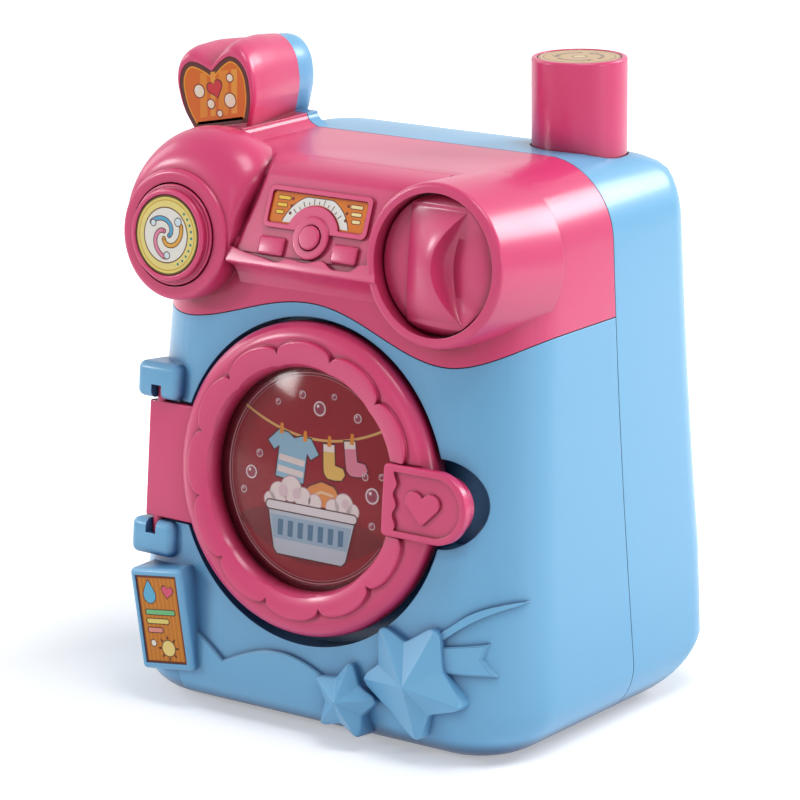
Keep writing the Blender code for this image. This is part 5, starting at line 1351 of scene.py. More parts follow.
def handle_outline(grow):
    """A square-backed D: straight on the left, half round on the right."""
    radius = handle_half_height + grow
    centre = handle_tip_x - handle_half_height
    left = handle_left_x - grow
    corner = 0.0018
    points = [(left + corner * (1.0 - math.sin(t)), radius - corner * (1.0 - math.cos(t)))
              for t in (0.0, math.pi / 8.0, math.pi / 4.0, math.pi * 3.0 / 8.0, math.pi / 2.0)]
    points += [(x, -z) for x, z in reversed(points)]
    return points + arc((centre, 0.0), radius, -math.pi / 2.0, math.pi / 2.0, 40)


def handle_stub(grow):
    """The handle's body behind its plate, cut to the D outline."""
    centre = handle_tip_x - handle_half_height
    radius = handle_half_height - handle_rim + grow
    outline = [(handle_body_left_x - grow, radius), (handle_body_left_x - grow, -radius)]
    outline += arc((centre, 0.0), radius, -math.pi / 2.0, math.pi / 2.0, 36)
    return prism(outline, -handle_proud + handle_plate_thickness / 2.0, handle_body_depth + grow, leaning(0.0, 0.0))


def make_door_ring():
    sides = scallop_lobes * 24
    sections = []
    for i in range(sides):
        angle = 2.0 * math.pi * i / sides
        sections.append([(radius * math.cos(angle), depth, radius * math.sin(angle))
                         for radius, depth in ring_section(angle)])
    ring = solid("door_ring", sections, leaning(0.0, 0.0), closed_tube=True)
    add(ring, box((leaf_left_x, -leaf_front_proud, leaf_bottom),
                  (leaf_right_x, leaf_thickness - leaf_front_proud, leaf_top), leaning(0.0, 0.0), small_round))
    placed = leaning(hinge_x, 0.0, hinge_depth) @ Matrix.Rotation(math.pi / 2.0, 4, "X")
    add(ring, cylinder(hinge_pin_radius, leaf_bottom - hinge_pin_reach, leaf_top + hinge_pin_reach, placed))
    cut(ring, prism(handle_outline(gap), -overrun, -handle_proud + handle_plate_thickness + gap, leaning(0.0, 0.0)))
    return cut(ring, handle_stub(gap))


def dish_outline():
    """The handle's dish: concentric with its edge, with a wavy left side."""
    left = handle_left_x + 0.0048
    inside = [(x, z) for x, z in handle_outline(-handle_rim) if x > left + 0.0030]
    low = min(z for x, z in inside)
    wave = []
    for k in range(33):
        z = low * (2.0 * k / 32.0 - 1.0)
        wave.append((left + 0.0006 * math.cos(2.0 * math.pi * (z + 0.0011) / 0.0066), z))
    return inside + wave


def make_door_handle():
    plate = -handle_proud + handle_plate_thickness
    handle = cushion(handle_outline(0.0), -handle_proud, plate, 0.0007, leaning(0.0, 0.0))
    cut(handle, prism(dish_outline(), -handle_proud - overrun, -handle_proud + handle_dish, leaning(0.0, 0.0)))
    add(handle, handle_stub(0.0))
    lobe = handle_heart_half_width * 0.515
    aside = handle_heart_half_width - lobe
    right = arc((aside, 0.0011), lobe, math.radians(-50.0), math.radians(140.0), 22)
    left = [(-x, z) for x, z in reversed(right)]
    outline = soft([(0.0, -0.0072, 0.0016)] + right + [(0.0, 0.0026, 0.0005)] + left, 8)
    rings = []
    for share, depth in ((0.915, -handle_proud - 0.0001), (0.955, -handle_proud), (0.985, -handle_proud + 0.00018),
                         (1.0, -handle_proud + 0.0005), (1.0, -handle_proud + handle_plate_thickness / 2.0)):
        rings.append([(0.0489 + x * share, depth, z * 0.92 * share) for x, z in outline])
    return add(handle, solid("heart", rings, leaning(0.0, 0.0)))


def make_window():
    """A clear dome with a flange that sits in the ring's rebate."""
    flange = window_seat_radius - gap
    neck = window_radius - gap
    near = window_seat_depth + gap
    steps = 24
    outer = []
    inner = []
    for i in range(steps + 1):
        share = i / steps
        bulge = 1.0 - share * share
        outer.append((neck * share, -ring_rim_proud / 2.0 - dome_rise * bulge))
        inner.append(((neck - dome_wall) * share, -ring_rim_proud / 2.0 + dome_wall - dome_rise * bulge))
    profile = outer + [(neck, near), (flange, near), (flange, near + dome_flange_thickness),
                       (neck - dome_wall, near + dome_flange_thickness)]
    return turned("door_window", profile + list(reversed(inner)), leaning(0.0, 0.0), door_sides)


def film_depth():
    return window_seat_depth + gap + dome_flange_thickness + label_gap


def make_film():
    start = film_depth()
    return cylinder(window_seat_radius - gap, start, start + film_thickness, leaning(0.0, 0.0), door_sides)


# Dial and buttons

def grip_row(share):
    """Points across the knob's face at one height: a flat, a step, a full crest, a hollow wall, a rising lens."""
    z = dial_radius * share
    chord = dial_radius * math.sqrt(max(1.0 - share * share, 0.0))
    out = (z / grip_tip_up) ** 2
    near_tip = min(out, 1.0)
    foot = max(grip_foot_x, -chord)
    crest = min(grip_crest_x + (grip_tip_x - grip_crest_x) * out, chord)
    fold = min(grip_fold_x + (grip_tip_x - grip_fold_x) * out, chord)
    fold = max(fold, crest)
    high = dial_grip_height * (1.0 - 0.55 * near_tip) * min(1.0, 2.0 * chord / dial_radius)
    low = grip_floor + (high - grip_floor) * near_tip * near_tip
    points = [(-chord, 0.0, z), (foot, 0.0, z)]
    for i in range(15):
        along = 0.004 + 0.996 * i / 14
        rise = 0.24 + 0.76 * math.sin(math.pi / 2.0 * along)
        points.append((foot + (crest - foot) * along, -high * rise, z))
    for along, left in ((0.03, 0.94), (0.10, 0.80), (0.22, 0.60), (0.40, 0.36), (0.62, 0.15), (0.84, 0.03), (1.0, 0.0)):
        points.append((crest + (fold - crest) * along, -low - (high - low) * left, z))
    ridge = fold + (chord - fold) * 0.74
    top = low + (grip_lens_height - low) * (1.0 - near_tip)
    for along in (0.3, 0.6, 0.85, 1.0):
        points.append((fold + (ridge - fold) * along, -low - (top - low) * math.sin(math.pi / 2.0 * along), z))
    for along in (0.3, 0.55, 0.75, 0.9, 1.0):
        points.append((ridge + (chord - ridge) * along, -top * math.sqrt(max(1.0 - along * along, 0.0)), z))
    return points


def make_dial():
    front = dial_disc_drop - dial_pod_proud
    back = front + dial_disc_thickness
    placed = leaning(dial_x, dial_up)
    steps = 120
    bm = bmesh.new()
    rows = []
    for i in range(steps + 1):
        share = math.sin(math.pi * (i / steps - 0.5))
        line = [(x, front + y, z) for x, y, z in grip_row(share)]
        if rows:
            edges = [bm.edges.get(pair) for pair in zip(rows[-1], rows[-1][1:])]
            made = bmesh.ops.extrude_edge_only(bm, edges=edges)["geom"]
            fresh = {item for item in made if isinstance(item, bmesh.types.BMVert)}
            rows.append([next(e.other_vert(v) for e in v.link_edges if e.other_vert(v) in fresh) for v in rows[-1]])
            for vert, point in zip(rows[-1], line):
                vert.co = point
        else:
            rows.append([bm.verts.new(point) for point in line])
            for pair in zip(rows[0], rows[0][1:]):
                bm.edges.new(pair)
    bmesh.ops.remove_doubles(bm, verts=bm.verts, dist=weld)
    rim = [edge for edge in bm.edges if len(edge.link_faces) == 1]
    made = bmesh.ops.extrude_edge_only(bm, edges=rim)["geom"]
    for item in made:
        if isinstance(item, bmesh.types.BMVert):
            item.co.y = back
    bmesh.ops.remove_doubles(bm, verts=bm.verts, dist=weld)
    bmesh.ops.holes_fill(bm, edges=[edge for edge in bm.edges if len(edge.link_faces) == 1])
    bmesh.ops.dissolve_degenerate(bm, edges=bm.edges, dist=weld)
    bmesh.ops.recalc_face_normals(bm, faces=bm.faces)
    bmesh.ops.transform(bm, matrix=placed, verts=bm.verts)
    dial = as_object("dial_knob", bm)
    add(dial, cylinder(dial_shaft_radius, back - small_round, back + dial_shaft_length, placed))
    return cut(dial, cylinder(screw_hole_radius, back + dial_shaft_length - screw_bite * 0.75,
                              back + dial_shaft_length + overrun, placed, 16))


def make_left_button():
    cap = -button_pod_proud - button_cap_proud
    step = -button_pod_proud - button_flange_proud
    back = step + button_skirt
    under = cap + button_top + button_label_pocket
    label_edge = button_label_radius + gap
    inner = button_flange_radius - thin_wall
    stem_end = cap + button_stem_length
    return turned("left_button", [(0.0, cap + button_label_pocket)] + soft([
        (label_edge, cap + button_label_pocket), (label_edge, cap, 0.0005),
        (button_cap_radius, cap, 0.0009), (button_cap_radius, step, 0.0004),
        (button_flange_radius, step, 0.0006), (button_flange_radius, back), (inner, back), (inner, under),
        (button_stem_radius, under), (button_stem_radius, stem_end)]) + [(0.0, stem_end)],
        leaning(button_x, button_up))


def make_button_label():
    start = -button_pod_proud - button_cap_proud + button_label_pocket - label_gap
    return cylinder(button_label_radius, start - button_label_thickness, start,
                    leaning(button_x, button_up), round_sides)


def make_start_button():
    end = start_pocket_depth + start_stem_length / 4.0
    return turned("start_button", soft([
        (0.0, -start_button_proud), (start_button_radius, -start_button_proud, 0.0007),
        (start_button_radius, start_button_depth), (start_stem_radius, start_button_depth),
        (start_stem_radius, end), (0.0, end)]), on_panel(start_x, start_up), 64)


# Materials

def tone(text):
    """A colour written as sRGB hex, in the linear values that the nodes take."""
    channels = [int(text[k:k + 2], 16) / 255.0 for k in (1, 3, 5)]
    return tuple(c / 12.92 if c <= 0.04045 else ((c + 0.055) / 1.055) ** 2.4 for c in channels) + (1.0,)


def node(tree, kind, **values):
    """Adds a node. A name that is a socket sets the socket, another sets the node."""
    made = tree.nodes.new(kind)
    for name, value in values.items():
        label = name.replace("_", " ")
        if label in made.inputs:
            made.inputs[label].default_value = value
        else:
            setattr(made, name, value)
    return made


def moulded(name, colour, roughness, coat, grain=0.0015, edge=0.0005, deep=None):
    """Injection-moulded plastic: a little unevenness in the sheen, a faint ripple and soft edges, and, given a deep
    colour, painted shade that darkens it in creases and hollows.
    """
    made = bpy.data.materials.new(name)
    made.use_nodes = True
    tree = made.node_tree
    shader = tree.nodes["Principled BSDF"]
    shader.inputs["Base Color"].default_value = tone(colour)
    shader.inputs["IOR"].default_value = 1.46
    shader.inputs["Coat Weight"].default_value = coat
    shader.inputs["Coat Roughness"].default_value = roughness * 0.5
    # Painted shade: ambient occlusion darkens the base colour towards the deep colour in creases, recesses and between
    # parts.
    if deep:
        hollow = node(tree, "ShaderNodeAmbientOcclusion", samples=8, Distance=0.009)
        shade = node(tree, "ShaderNodeValToRGB")
        for stop, position, shown in zip(shade.color_ramp.elements, (0.42, 0.97), (deep, colour)):
            stop.position = position
            stop.color = tone(shown)
        tree.links.new(hollow.outputs["AO"], shade.inputs["Fac"])
        tree.links.new(shade.outputs["Color"], shader.inputs["Base Color"])
    place = node(tree, "ShaderNodeTexCoord")
    cloudy = node(tree, "ShaderNodeTexNoise", Scale=1.0 / 0.022, Detail=3.0)
    tree.links.new(place.outputs["Object"], cloudy.inputs["Vector"])
    sheen = node(tree, "ShaderNodeMapRange", To_Min=roughness * 0.88, To_Max=roughness * 1.15)
    tree.links.new(cloudy.outputs["Fac"], sheen.inputs["Value"])
    tree.links.new(sheen.outputs["Result"], shader.inputs["Roughness"])
    ripple = node(tree, "ShaderNodeTexNoise", Scale=1.0 / grain, Detail=2.0)
    tree.links.new(place.outputs["Object"], ripple.inputs["Vector"])
    bump = node(tree, "ShaderNodeBump", Strength=0.04, Distance=0.00004)
    tree.links.new(ripple.outputs["Fac"], bump.inputs["Height"])
    if edge:
        rounding = node(tree, "ShaderNodeBevel", samples=8, Radius=edge)
        tree.links.new(rounding.outputs["Normal"], bump.inputs["Normal"])
    tree.links.new(bump.outputs["Normal"], shader.inputs["Normal"])
    return made


def printed(name, roughness, coat):
    """Printed film under a clear lacquer: the ink's colour comes with the piece, with a fine press grain."""
    made = bpy.data.materials.new(name)
    made.use_nodes = True
    tree = made.node_tree
    shader = tree.nodes["Principled BSDF"]
    shader.inputs["Roughness"].default_value = roughness
    shader.inputs["IOR"].default_value = 1.30
    shader.inputs["Coat Weight"].default_value = coat
    shader.inputs["Coat Roughness"].default_value = 0.06
    ink = node(tree, "ShaderNodeVertexColor", layer_name="tint")
    place = node(tree, "ShaderNodeTexCoord")
    press = node(tree, "ShaderNodeTexNoise", Scale=1.0 / 0.0004, Detail=2.0)
    tree.links.new(place.outputs["Object"], press.inputs["Vector"])
    shade = node(tree, "ShaderNodeMapRange", To_Min=0.95, To_Max=1.03)
    tree.links.new(press.outputs["Fac"], shade.inputs["Value"])
    scale = node(tree, "ShaderNodeVectorMath", operation="SCALE")
    tree.links.new(ink.outputs["Color"], scale.inputs[0])
    tree.links.new(shade.outputs["Result"], scale.inputs["Scale"])
    tree.links.new(scale.outputs["Vector"], shader.inputs["Base Color"])
    return made


def clear_plastic_material():
    """Clear polystyrene: lets the print show through, mirrors the lamps a little more at a slant."""
    made = bpy.data.materials.new("clear polystyrene")
    made.use_nodes = True
    tree = made.node_tree
    tree.nodes.clear()
    result = node(tree, "ShaderNodeOutputMaterial")
    through = node(tree, "ShaderNodeBsdfTransparent", Color=tone("#FBF6F6"))
    mirror = node(tree, "ShaderNodeBsdfGlossy", Roughness=0.10)
    side = node(tree, "ShaderNodeNewGeometry")
    index = node(tree, "ShaderNodeMapRange", To_Min=1.22, To_Max=1.0 / 1.22)
    tree.links.new(side.outputs["Backfacing"], index.inputs["Value"])
    slant = node(tree, "ShaderNodeFresnel")
    tree.links.new(index.outputs["Result"], slant.inputs["IOR"])
    place = node(tree, "ShaderNodeTexCoord")
    flow = node(tree, "ShaderNodeTexNoise", Scale=1.0 / 0.012, Detail=1.0)
    tree.links.new(place.outputs["Object"], flow.inputs["Vector"])
    bump = node(tree, "ShaderNodeBump", Strength=0.05, Distance=0.0001)
    tree.links.new(flow.outputs["Fac"], bump.inputs["Height"])
    tree.links.new(bump.outputs["Normal"], mirror.inputs["Normal"])
    mix = node(tree, "ShaderNodeMixShader")
    tree.links.new(slant.outputs["Fac"], mix.inputs["Fac"])
    tree.links.new(through.outputs["BSDF"], mix.inputs[1])
    tree.links.new(mirror.outputs["BSDF"], mix.inputs[2])
    tree.links.new(mix.outputs["Shader"], result.inputs["Surface"])
    return made


def plated_steel():
    """Zinc-plated steel: bright, with a fine cloudy sheen."""
    made = moulded("zinc-plated steel", "#B9BABD", 0.28, 0.0, grain=0.0008, edge=0.0001)
    made.node_tree.nodes["Principled BSDF"].inputs["Metallic"].default_value = 1.0
    return made


# The pink and the blue are glossy toy ABS, so lamps show in them as soft bright shapes. Their deep colours are painted
# shade in creases and hollows.
pink_abs = moulded("moulded ABS pink", "#E6417A", 0.33, 0.30, deep="#8C1436")
blue_abs = moulded("moulded ABS blue", "#76BCE8", 0.34, 0.25, deep="#33608F")
# The drum's plastic is darker and a little less glossy
drum_abs = moulded("moulded ABS crimson", "#B5274B", 0.30, 0.15)
# Acetal gears are milky and satin
acetal = moulded("moulded acetal", "#E6E2D6", 0.42, 0.0, edge=0.0001)
steel = plated_steel()
clear = clear_plastic_material()
film_print = printed("printed film", 0.50, 0.0)
label_print = printed("printed label", 0.36, 0.3)


# Printed artwork: flat patches of one colour, each a hair in front of the last

patch_step = 0.000012


def new_art():
    bm = bmesh.new()
    bm.loops.layers.float_color.new("tint")
    return bm


def patch(art, outline, colour, level):
    """A flat patch in local X and Z, facing the front."""
    face = art.faces.new([art.verts.new((x, -patch_step * level, z)) for x, z in outline])
    layer = art.loops.layers.float_color["tint"]
    for corner in face.loops:
        corner[layer] = tone(colour)
    return face


def disc(art, centre, radius, colour, level, sides=40, flat=1.0):
    points = arc((0.0, 0.0), radius, 0.0, 2.0 * math.pi, sides)[:-1]
    patch(art, [(centre[0] + x, centre[1] + z * flat) for x, z in points], colour, level)


def bordered(art, outline, colour, level, border="#4B1A22", width=0.00045):
    patch(art, offset_outline(outline, width), border, level)
    patch(art, outline, colour, level + 1)


def ball(art, centre, radius, colour, level, border="#4B1A22", width=0.0004):
    disc(art, centre, radius + width, border, level)
    disc(art, centre, radius, colour, level + 1)


def stroke(art, points, width, colour, level):
    """A line of even width with round ends."""
    left = []
    right = []
    for i, (x, z) in enumerate(points):
        ahead = Vector(points[min(i + 1, len(points) - 1)]) - Vector(points[max(i - 1, 0)])
        side = Vector((-ahead.y, ahead.x)).normalized() * width / 2.0
        left.append((x + side.x, z + side.y))
        right.append((x - side.x, z - side.y))
    patch(art, right + list(reversed(left)), colour, level)
    for end in (points[0], points[-1]):
        disc(art, end, width / 2.0, colour, level, 16)


def bubble(art, x, z, radius, level, body="#F6F1F4"):
    """A soap bubble: a thin pale ring, a paler middle and a glint."""
    disc(art, (x, z), radius, body, level)
    disc(art, (x, z), radius * 0.80, "#B98A9C", level + 1)
    disc(art, (x, z), radius * 0.72, "#A64B62", level + 2)
    disc(art, (x - radius * 0.28, z + radius * 0.30), radius * 0.22, "#FFFFFF", level + 3, 16)


def finish_art(art, name, matrix, made_of, body):
    bmesh.ops.transform(art, matrix=matrix, verts=art.verts)
    thing = as_object(name, art)
    thing.data.materials.append(made_of)
    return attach(thing, body)


def tinted(thing, colour):
    """Gives a whole piece one printed colour."""
    layer = thing.data.color_attributes.new("tint", "FLOAT_COLOR", "CORNER")
    for item in layer.data:
        item.color = tone(colour)
    return thing


def heart_shape(centre, size, turn=0.0):
    points = []
    for i in range(48):
        t = 2.0 * math.pi * i / 48
        x = 16.0 * math.sin(t) ** 3
        z = 13.0 * math.cos(t) - 5.0 * math.cos(2 * t) - 2.0 * math.cos(3 * t) - math.cos(4 * t)
        points.append(Matrix.Rotation(turn, 2) @ Vector((x, z)) * size / 17.0)
    points.reverse()
    return [(centre[0] + p.x, centre[1] + p.y) for p in points]


def mm(points, x=0.0, z=0.0, scale=1.0, turn=0.0):
    """Points written in millimetres, placed and turned."""
    c, s = math.cos(turn), math.sin(turn)
    return [((x + scale * (a * c - b * s)) / 1000.0, (z + scale * (a * s + b * c)) / 1000.0) for a, b in points]


def window_art():
    """A clothes line over a basket of foamy washing, on a ground of painted shade edged with painted highlights."""
    art = new_art()
    # Painted shade and highlights: the maroon ground, darker at its edge, stands for the drum's shaded inside behind
    # the window, and the two pale rings are painted highlights of the window's rim.
    for radius, colour, level in ((0.0340, "#A32A3F", 1), (0.0336, "#E3AAB4", 1.5), (0.0333, "#7C1026", 2),
                                  (0.0327, "#D58E9B", 2.5), (0.0325, "#9C1428", 3)):
        disc(art, (0.0, 0.0), radius, colour, level, 144)
    patch(art, mm([(28.5 * math.cos(t / 20 * math.pi), -17 + 7 * math.sin(t / 20 * math.pi)) for t in range(0, 21)]
                  + [(-25 + 2.5 * k, -19.5 - 8.5 * math.sin(math.pi * (k + 0.0) / 20)) for k in range(1, 20)]),
          "#7E0F1F", 4)
    line = [(-27.5 + 55 * i / 20, 19.5 - 7.0 * (1 - ((i - 10) / 10) ** 2)) for i in range(21)]
    stroke(art, mm(line), 0.0008, "#E9C77B", 5)
    shirt = [(-7, 7), (-3, 7), (0, 5.6), (3, 7), (7, 7), (11, 2.5), (8, 0), (6, 1.8), (6, -9), (-6, -9), (-6, 1.8),
             (-8, 0), (-11, 2.5)]
    shirt.reverse()
    bordered(art, mm(shirt, -8.5, 6.5, 0.92, -0.10), "#9FD8F1", 6)
    patch(art, mm([(-5.6, -1), (-5.6, -3.2), (5.6, -3.2), (5.6, -1)], -8.5, 6.5, 0.92, -0.10), "#F7F7F2", 8)
    patch(art, mm([(-5.6, -5), (-5.6, -7.2), (5.6, -7.2), (5.6, -5)], -8.5, 6.5, 0.92, -0.10), "#F7F7F2", 8)
    sock = [(-2.2, 6), (-2.2, -1), (-2.0, -3.4), (-0.6, -5), (2.2, -5.4), (5.0, -5.2), (6.4, -3.4), (5.6, -1.4),
            (2.4, -0.6), (2.2, 6)]
    for x, z, turn, colour in ((6.0, 5.8, 0.06, "#F7D774"), (14.5, 8.0, 0.14, "#F39BB6")):
        bordered(art, mm(sock, x, z, 0.98, turn), colour, 6)
        patch(art, mm([(-2.2, 6), (-2.2, 3.6), (2.2, 3.6), (2.2, 6)], x, z, 0.98, turn), "#FFFDF6", 8)
    for x, z in ((-13.2, 14.2), (-3.8, 12.9), (5.8, 12.7), (14.6, 14.7)):
        patch(art, mm([(-0.8, -1.7), (0.8, -1.7), (0.6, 1.7), (-0.6, 1.7)], x, z), "#F2A23C", 9)
    basket = [(-17.5, -9.5), (-14.2, -24.5), (-12.8, -26), (12.8, -26), (14.2, -24.5), (17.5, -9.5)]
    bordered(art, mm(basket), "#CFE6F3", 10)
    patch(art, mm([(-16.0, -13.6), (-14.6, -21.2), (14.6, -21.2), (16.0, -13.6)]), "#A8CFE6", 12)
    for k in range(7):
        x = -12.0 + 4.0 * k
        patch(art, mm([(-1.1, -14.9), (-1.0, -20.0), (1.0, -20.0), (1.1, -14.9)], x, 0.0), "#5D8FB0", 13)
    towel = [(-3, -8.6), (3, -8.6), (10.5, -8.6), (11.5, -5.4), (8.5, -1.6), (3.5, -0.6), (-1.0, -2.6), (-4.2, -5.4)]
    bordered(art, mm(towel), "#F5A65B", 14)
    stroke(art, mm([(0.0, -5.6), (3.5, -3.8), (8.2, -4.4)]), 0.0009, "#FCE2B4", 16)
    for x, z, r in ((-13.2, -6.6, 3.4), (-8.4, -4.6, 4.0), (-3.6, -6.8, 3.2), (1.2, -7.6, 2.6), (12.6, -6.6, 3.5),
                    (8.4, -8.0, 2.6), (16.2, -8.2, 2.4), (-16.6, -9.0, 2.2)):
        ball(art, (x / 1000.0, z / 1000.0), r / 1000.0, "#FFFDFB", 17, "#D8B7BF", 0.0003)
    for x, z, r in ((-11.4, -5.6, 2.0), (-6.0, -5.8, 1.8), (13.4, -6.2, 1.6)):
        disc(art, (x / 1000.0, z / 1000.0), r / 1000.0, "#F1E3EA", 19)
    patch(art, mm(rounded(36.6, 3.4, 1.6, 0.0, -10.6)), "#4B1A22", 20)
    patch(art, mm(rounded(35.8, 2.6, 1.3, 0.0, -10.6)), "#F3FAFE", 21)
    for x, z, r in ((-24.5, -1.5, 2.2), (-21.5, 5.0, 1.3), (23.5, -2.0, 2.6), (20.5, 3.6, 1.2), (26.8, 4.5, 1.1),
                    (-27.2, -7.5, 1.2), (1.5, 22.5, 2.4), (-5.5, 26.0, 1.3), (7.0, 27.0, 1.0), (24.0, -11.5, 1.2),
                    (-15.0, 22.5, 1.0), (16.5, 21.5, 1.5)):
        bubble(art, x / 1000.0, z / 1000.0, r / 1000.0, 22)
    return art


def rounded(width, height, radius, x, z):
    return [(x + a, z + b) for a, b in rounded_rectangle(width, height, radius)]


def badge_art():
    """An amber sticker with slanting bands, bubbles and a small heart."""
    art = new_art()
    rim = badge_outline(-0.0001)
    patch(art, rim, "#5A1712", 1)
    patch(art, badge_outline(-0.0014), "#F6A626", 2)
    patch(art, badge_outline(-0.0019), "#E4700C", 3)
    for x, wide, colour in ((-6.6, 1.5, "#EE9424"), (-2.6, 1.0, "#F3A83A"), (1.8, 2.0, "#EE9424"), (6.4, 1.2, "#F3A83A")):
        patch(art, mm([(x - wide, -10.8), (x + wide, -10.8), (x + wide + 3.0, 3.4), (x - wide + 3.0, 3.4)]), colour, 4)
    for x, z, r in ((-6.6, -2.2, 2.0), (-2.6, -6.8, 1.4), (5.6, -6.4, 2.2), (7.0, 0.8, 1.2), (0.4, -10.2, 1.0)):
        ball(art, (x / 1000.0, z / 1000.0), r / 1000.0, "#FFF3D6", 6, "#8A2F12", 0.0004)
        disc(art, ((x - r * 0.3) / 1000.0, (z + r * 0.3) / 1000.0), r * 0.0003, "#FFFFFF", 8)
    patch(art, heart_shape((0.0002, -0.0020), 0.0037, 0.2), "#6A1A14", 9)
    patch(art, heart_shape((0.0002, -0.0020), 0.0032, 0.2), "#D9323C", 10)
    return art


def display_art():
    """Orange panels with level bars either side of a white scale."""
    art = new_art()
    outline = display_outline(-label_gap)
    patch(art, outline, "#D9600F", 1)
    patch(art, display_outline(-label_gap - 0.0004), "#E87C0E", 2)
    fan = arc((start_x, start_up), 0.0138, 0.0, math.pi, 40)
    top = bezel_centre_up + bezel_height / 2.0 - bezel_rim - 0.0008
    fan = [(x, min(z, top)) for x, z in fan]
    low = bezel_centre_up - bezel_height / 2.0 + bezel_rim + 0.0006
    inner = arc((start_x, start_up), arch_radius + 0.0004, math.pi, 0.0, 40)
    outer = [(x, z) for x, z in fan if z > low]
    inner = [(x, z) for x, z in inner if z > low]
    patch(art, outer + inner, "#6E2A18", 3)
    outer = [(start_x + (x - start_x) * 0.975, z - 0.00025) for x, z in outer]
    patch(art, outer + inner, "#F7F4EE", 4)
    for k in range(11):
        angle = math.radians(42.0 + 9.6 * k)
        near, far = arch_radius + 0.0006, arch_radius + (0.0016 if k % 2 else 0.0024)
        side = 0.00016
        c, s = math.cos(angle), math.sin(angle)
        patch(art, [(start_x + near * c + side * s, start_up + near * s - side * c),
                    (start_x + far * c + side * s, start_up + far * s - side * c),
                    (start_x + far * c - side * s, start_up + far * s + side * c),
                    (start_x + near * c - side * s, start_up + near * s + side * c)], "#7A4A3A", 5)
    for side in (-1.0, 1.0):
        for k, long in enumerate((4.6, 3.8, 3.0)):
            z = 17.9 - 2.3 * k
            x = side * (16.4 - long / 2.0) + 0.2
            patch(art, mm(rounded(long + 0.5, 1.5, 0.6, x, z)), "#7A2A0C", 6)
            patch(art, mm(rounded(long, 1.0, 0.45, x, z)), "#FFD23F" if side < 0 else "#FFE9A6", 7)
        for k in range(3):
            disc(art, (side * 0.0108 + 0.0002, 0.0179 - 0.0023 * k), 0.00055, "#7A2A0C", 6, 16)
    return art


def button_art():
    """A yellow ring round a pale disc with a swirl of water and bubbles."""
    art = new_art()
    disc(art, (0.0, 0.0), 0.0125, "#6E5A22", 1, 96)
    disc(art, (0.0, 0.0), 0.0121, "#F6DF7A", 2, 96)
    disc(art, (0.0, 0.0), 0.0113, "#D9A93A", 3, 96)
    disc(art, (0.0, 0.0), 0.0110, "#F9E58C", 4, 96)
    disc(art, (-0.0004, 0.0), 0.0090, "#7A4A2A", 5, 72)
    disc(art, (-0.0004, 0.0), 0.0086, "#FBF8EE", 6, 72)
    for start, colour in ((0.0, "#5FB6DF"), (2.0 * math.pi / 3.0, "#F08FAE"), (4.0 * math.pi / 3.0, "#F3B34A")):
        line = []
        for i in range(25):
            t = i / 24
            angle = start + 2.6 * t
            radius = 1.4 + 5.6 * t
            line.append((-0.4 + radius * math.cos(angle), radius * math.sin(angle)))
        stroke(art, mm(line), 0.0017, "#6B3B24", 7)
        stroke(art, mm(line), 0.0011, colour, 8)
    for x, z, r in ((4.4, 4.6, 1.2), (-5.6, 3.4, 0.9), (0.4, -6.4, 1.0)):
        ball(art, (x / 1000.0, z / 1000.0), r / 1000.0, "#E5F5FC", 9, "#6B3B24", 0.0003)
    for k in range(10):
        angle = math.radians(-60.0 + 12.0 * k)
        disc(art, (0.0100 * math.cos(angle), 0.0100 * math.sin(angle)), 0.00045, "#3B8F86", 5, 16)
    return art


def picture_art():
    """Amber strip with a drop, a heart, a sun and bars, as on a programme card."""
    art = new_art()
    wide = picture_box_width / 2.0 - picture_rim - label_gap - 0.0001
    tall = picture_box_height / 2.0 - picture_rim - label_gap - 0.0001
    patch(art, [(-wide, -tall), (wide, -tall), (wide, tall), (-wide, tall)], "#7A3510", 1)
    a, b = wide - 0.0006, tall - 0.0006
    patch(art, [(-a, -b), (a, -b), (a, b), (-a, b)], "#D67F1C", 2)
    for k in range(9):
        x = -a + (2 * k + 0.5) * a / 9.0
        patch(art, [(x, -b), (x + a / 14.0, -b), (x + a / 14.0, b), (x, b)], "#E4932A", 3)
    drop = [(0.0, 4.0), (-1.6, 1.4), (-2.5, -0.6), (-2.2, -2.4), (-1.0, -3.4), (0.0, -3.6), (1.0, -3.4), (2.2, -2.4),
            (2.5, -0.6), (1.6, 1.4)]
    bordered(art, mm(drop, -3.6, 9.0), "#69C4EC", 5, "#5A2410", 0.0003)
    patch(art, heart_shape((0.0040, 0.0094), 0.0028, -0.2), "#5A2410", 5)
    patch(art, heart_shape((0.0040, 0.0094), 0.0024, -0.2), "#EE5C7E", 6)
    for k, (long, colour) in enumerate(((12.0, "#7BD08A"), (9.0, "#F6E27A"), (6.0, "#F39B8C"))):
        patch(art, mm(rounded(long + 0.7, 2.1, 0.9, -6.0 + long / 2.0, 2.4 - 3.0 * k)), "#5A2410", 5)
        patch(art, mm(rounded(long, 1.5, 0.7, -6.0 + long / 2.0, 2.4 - 3.0 * k)), colour, 6)
    for k in range(8):
        angle = 2.0 * math.pi * k / 8
        patch(art, mm([(3.1, -0.5), (4.6, 0.0), (3.1, 0.5)], 1.5, -9.6, 1.0, angle), "#5A2410", 5)
    ball(art, (0.0015, -0.0096), 0.0026, "#FFE48A", 6, "#5A2410", 0.0003)
    ball(art, (-0.0045, -0.0080), 0.0010, "#FDF6E4", 6, "#5A2410", 0.0003)
    return art


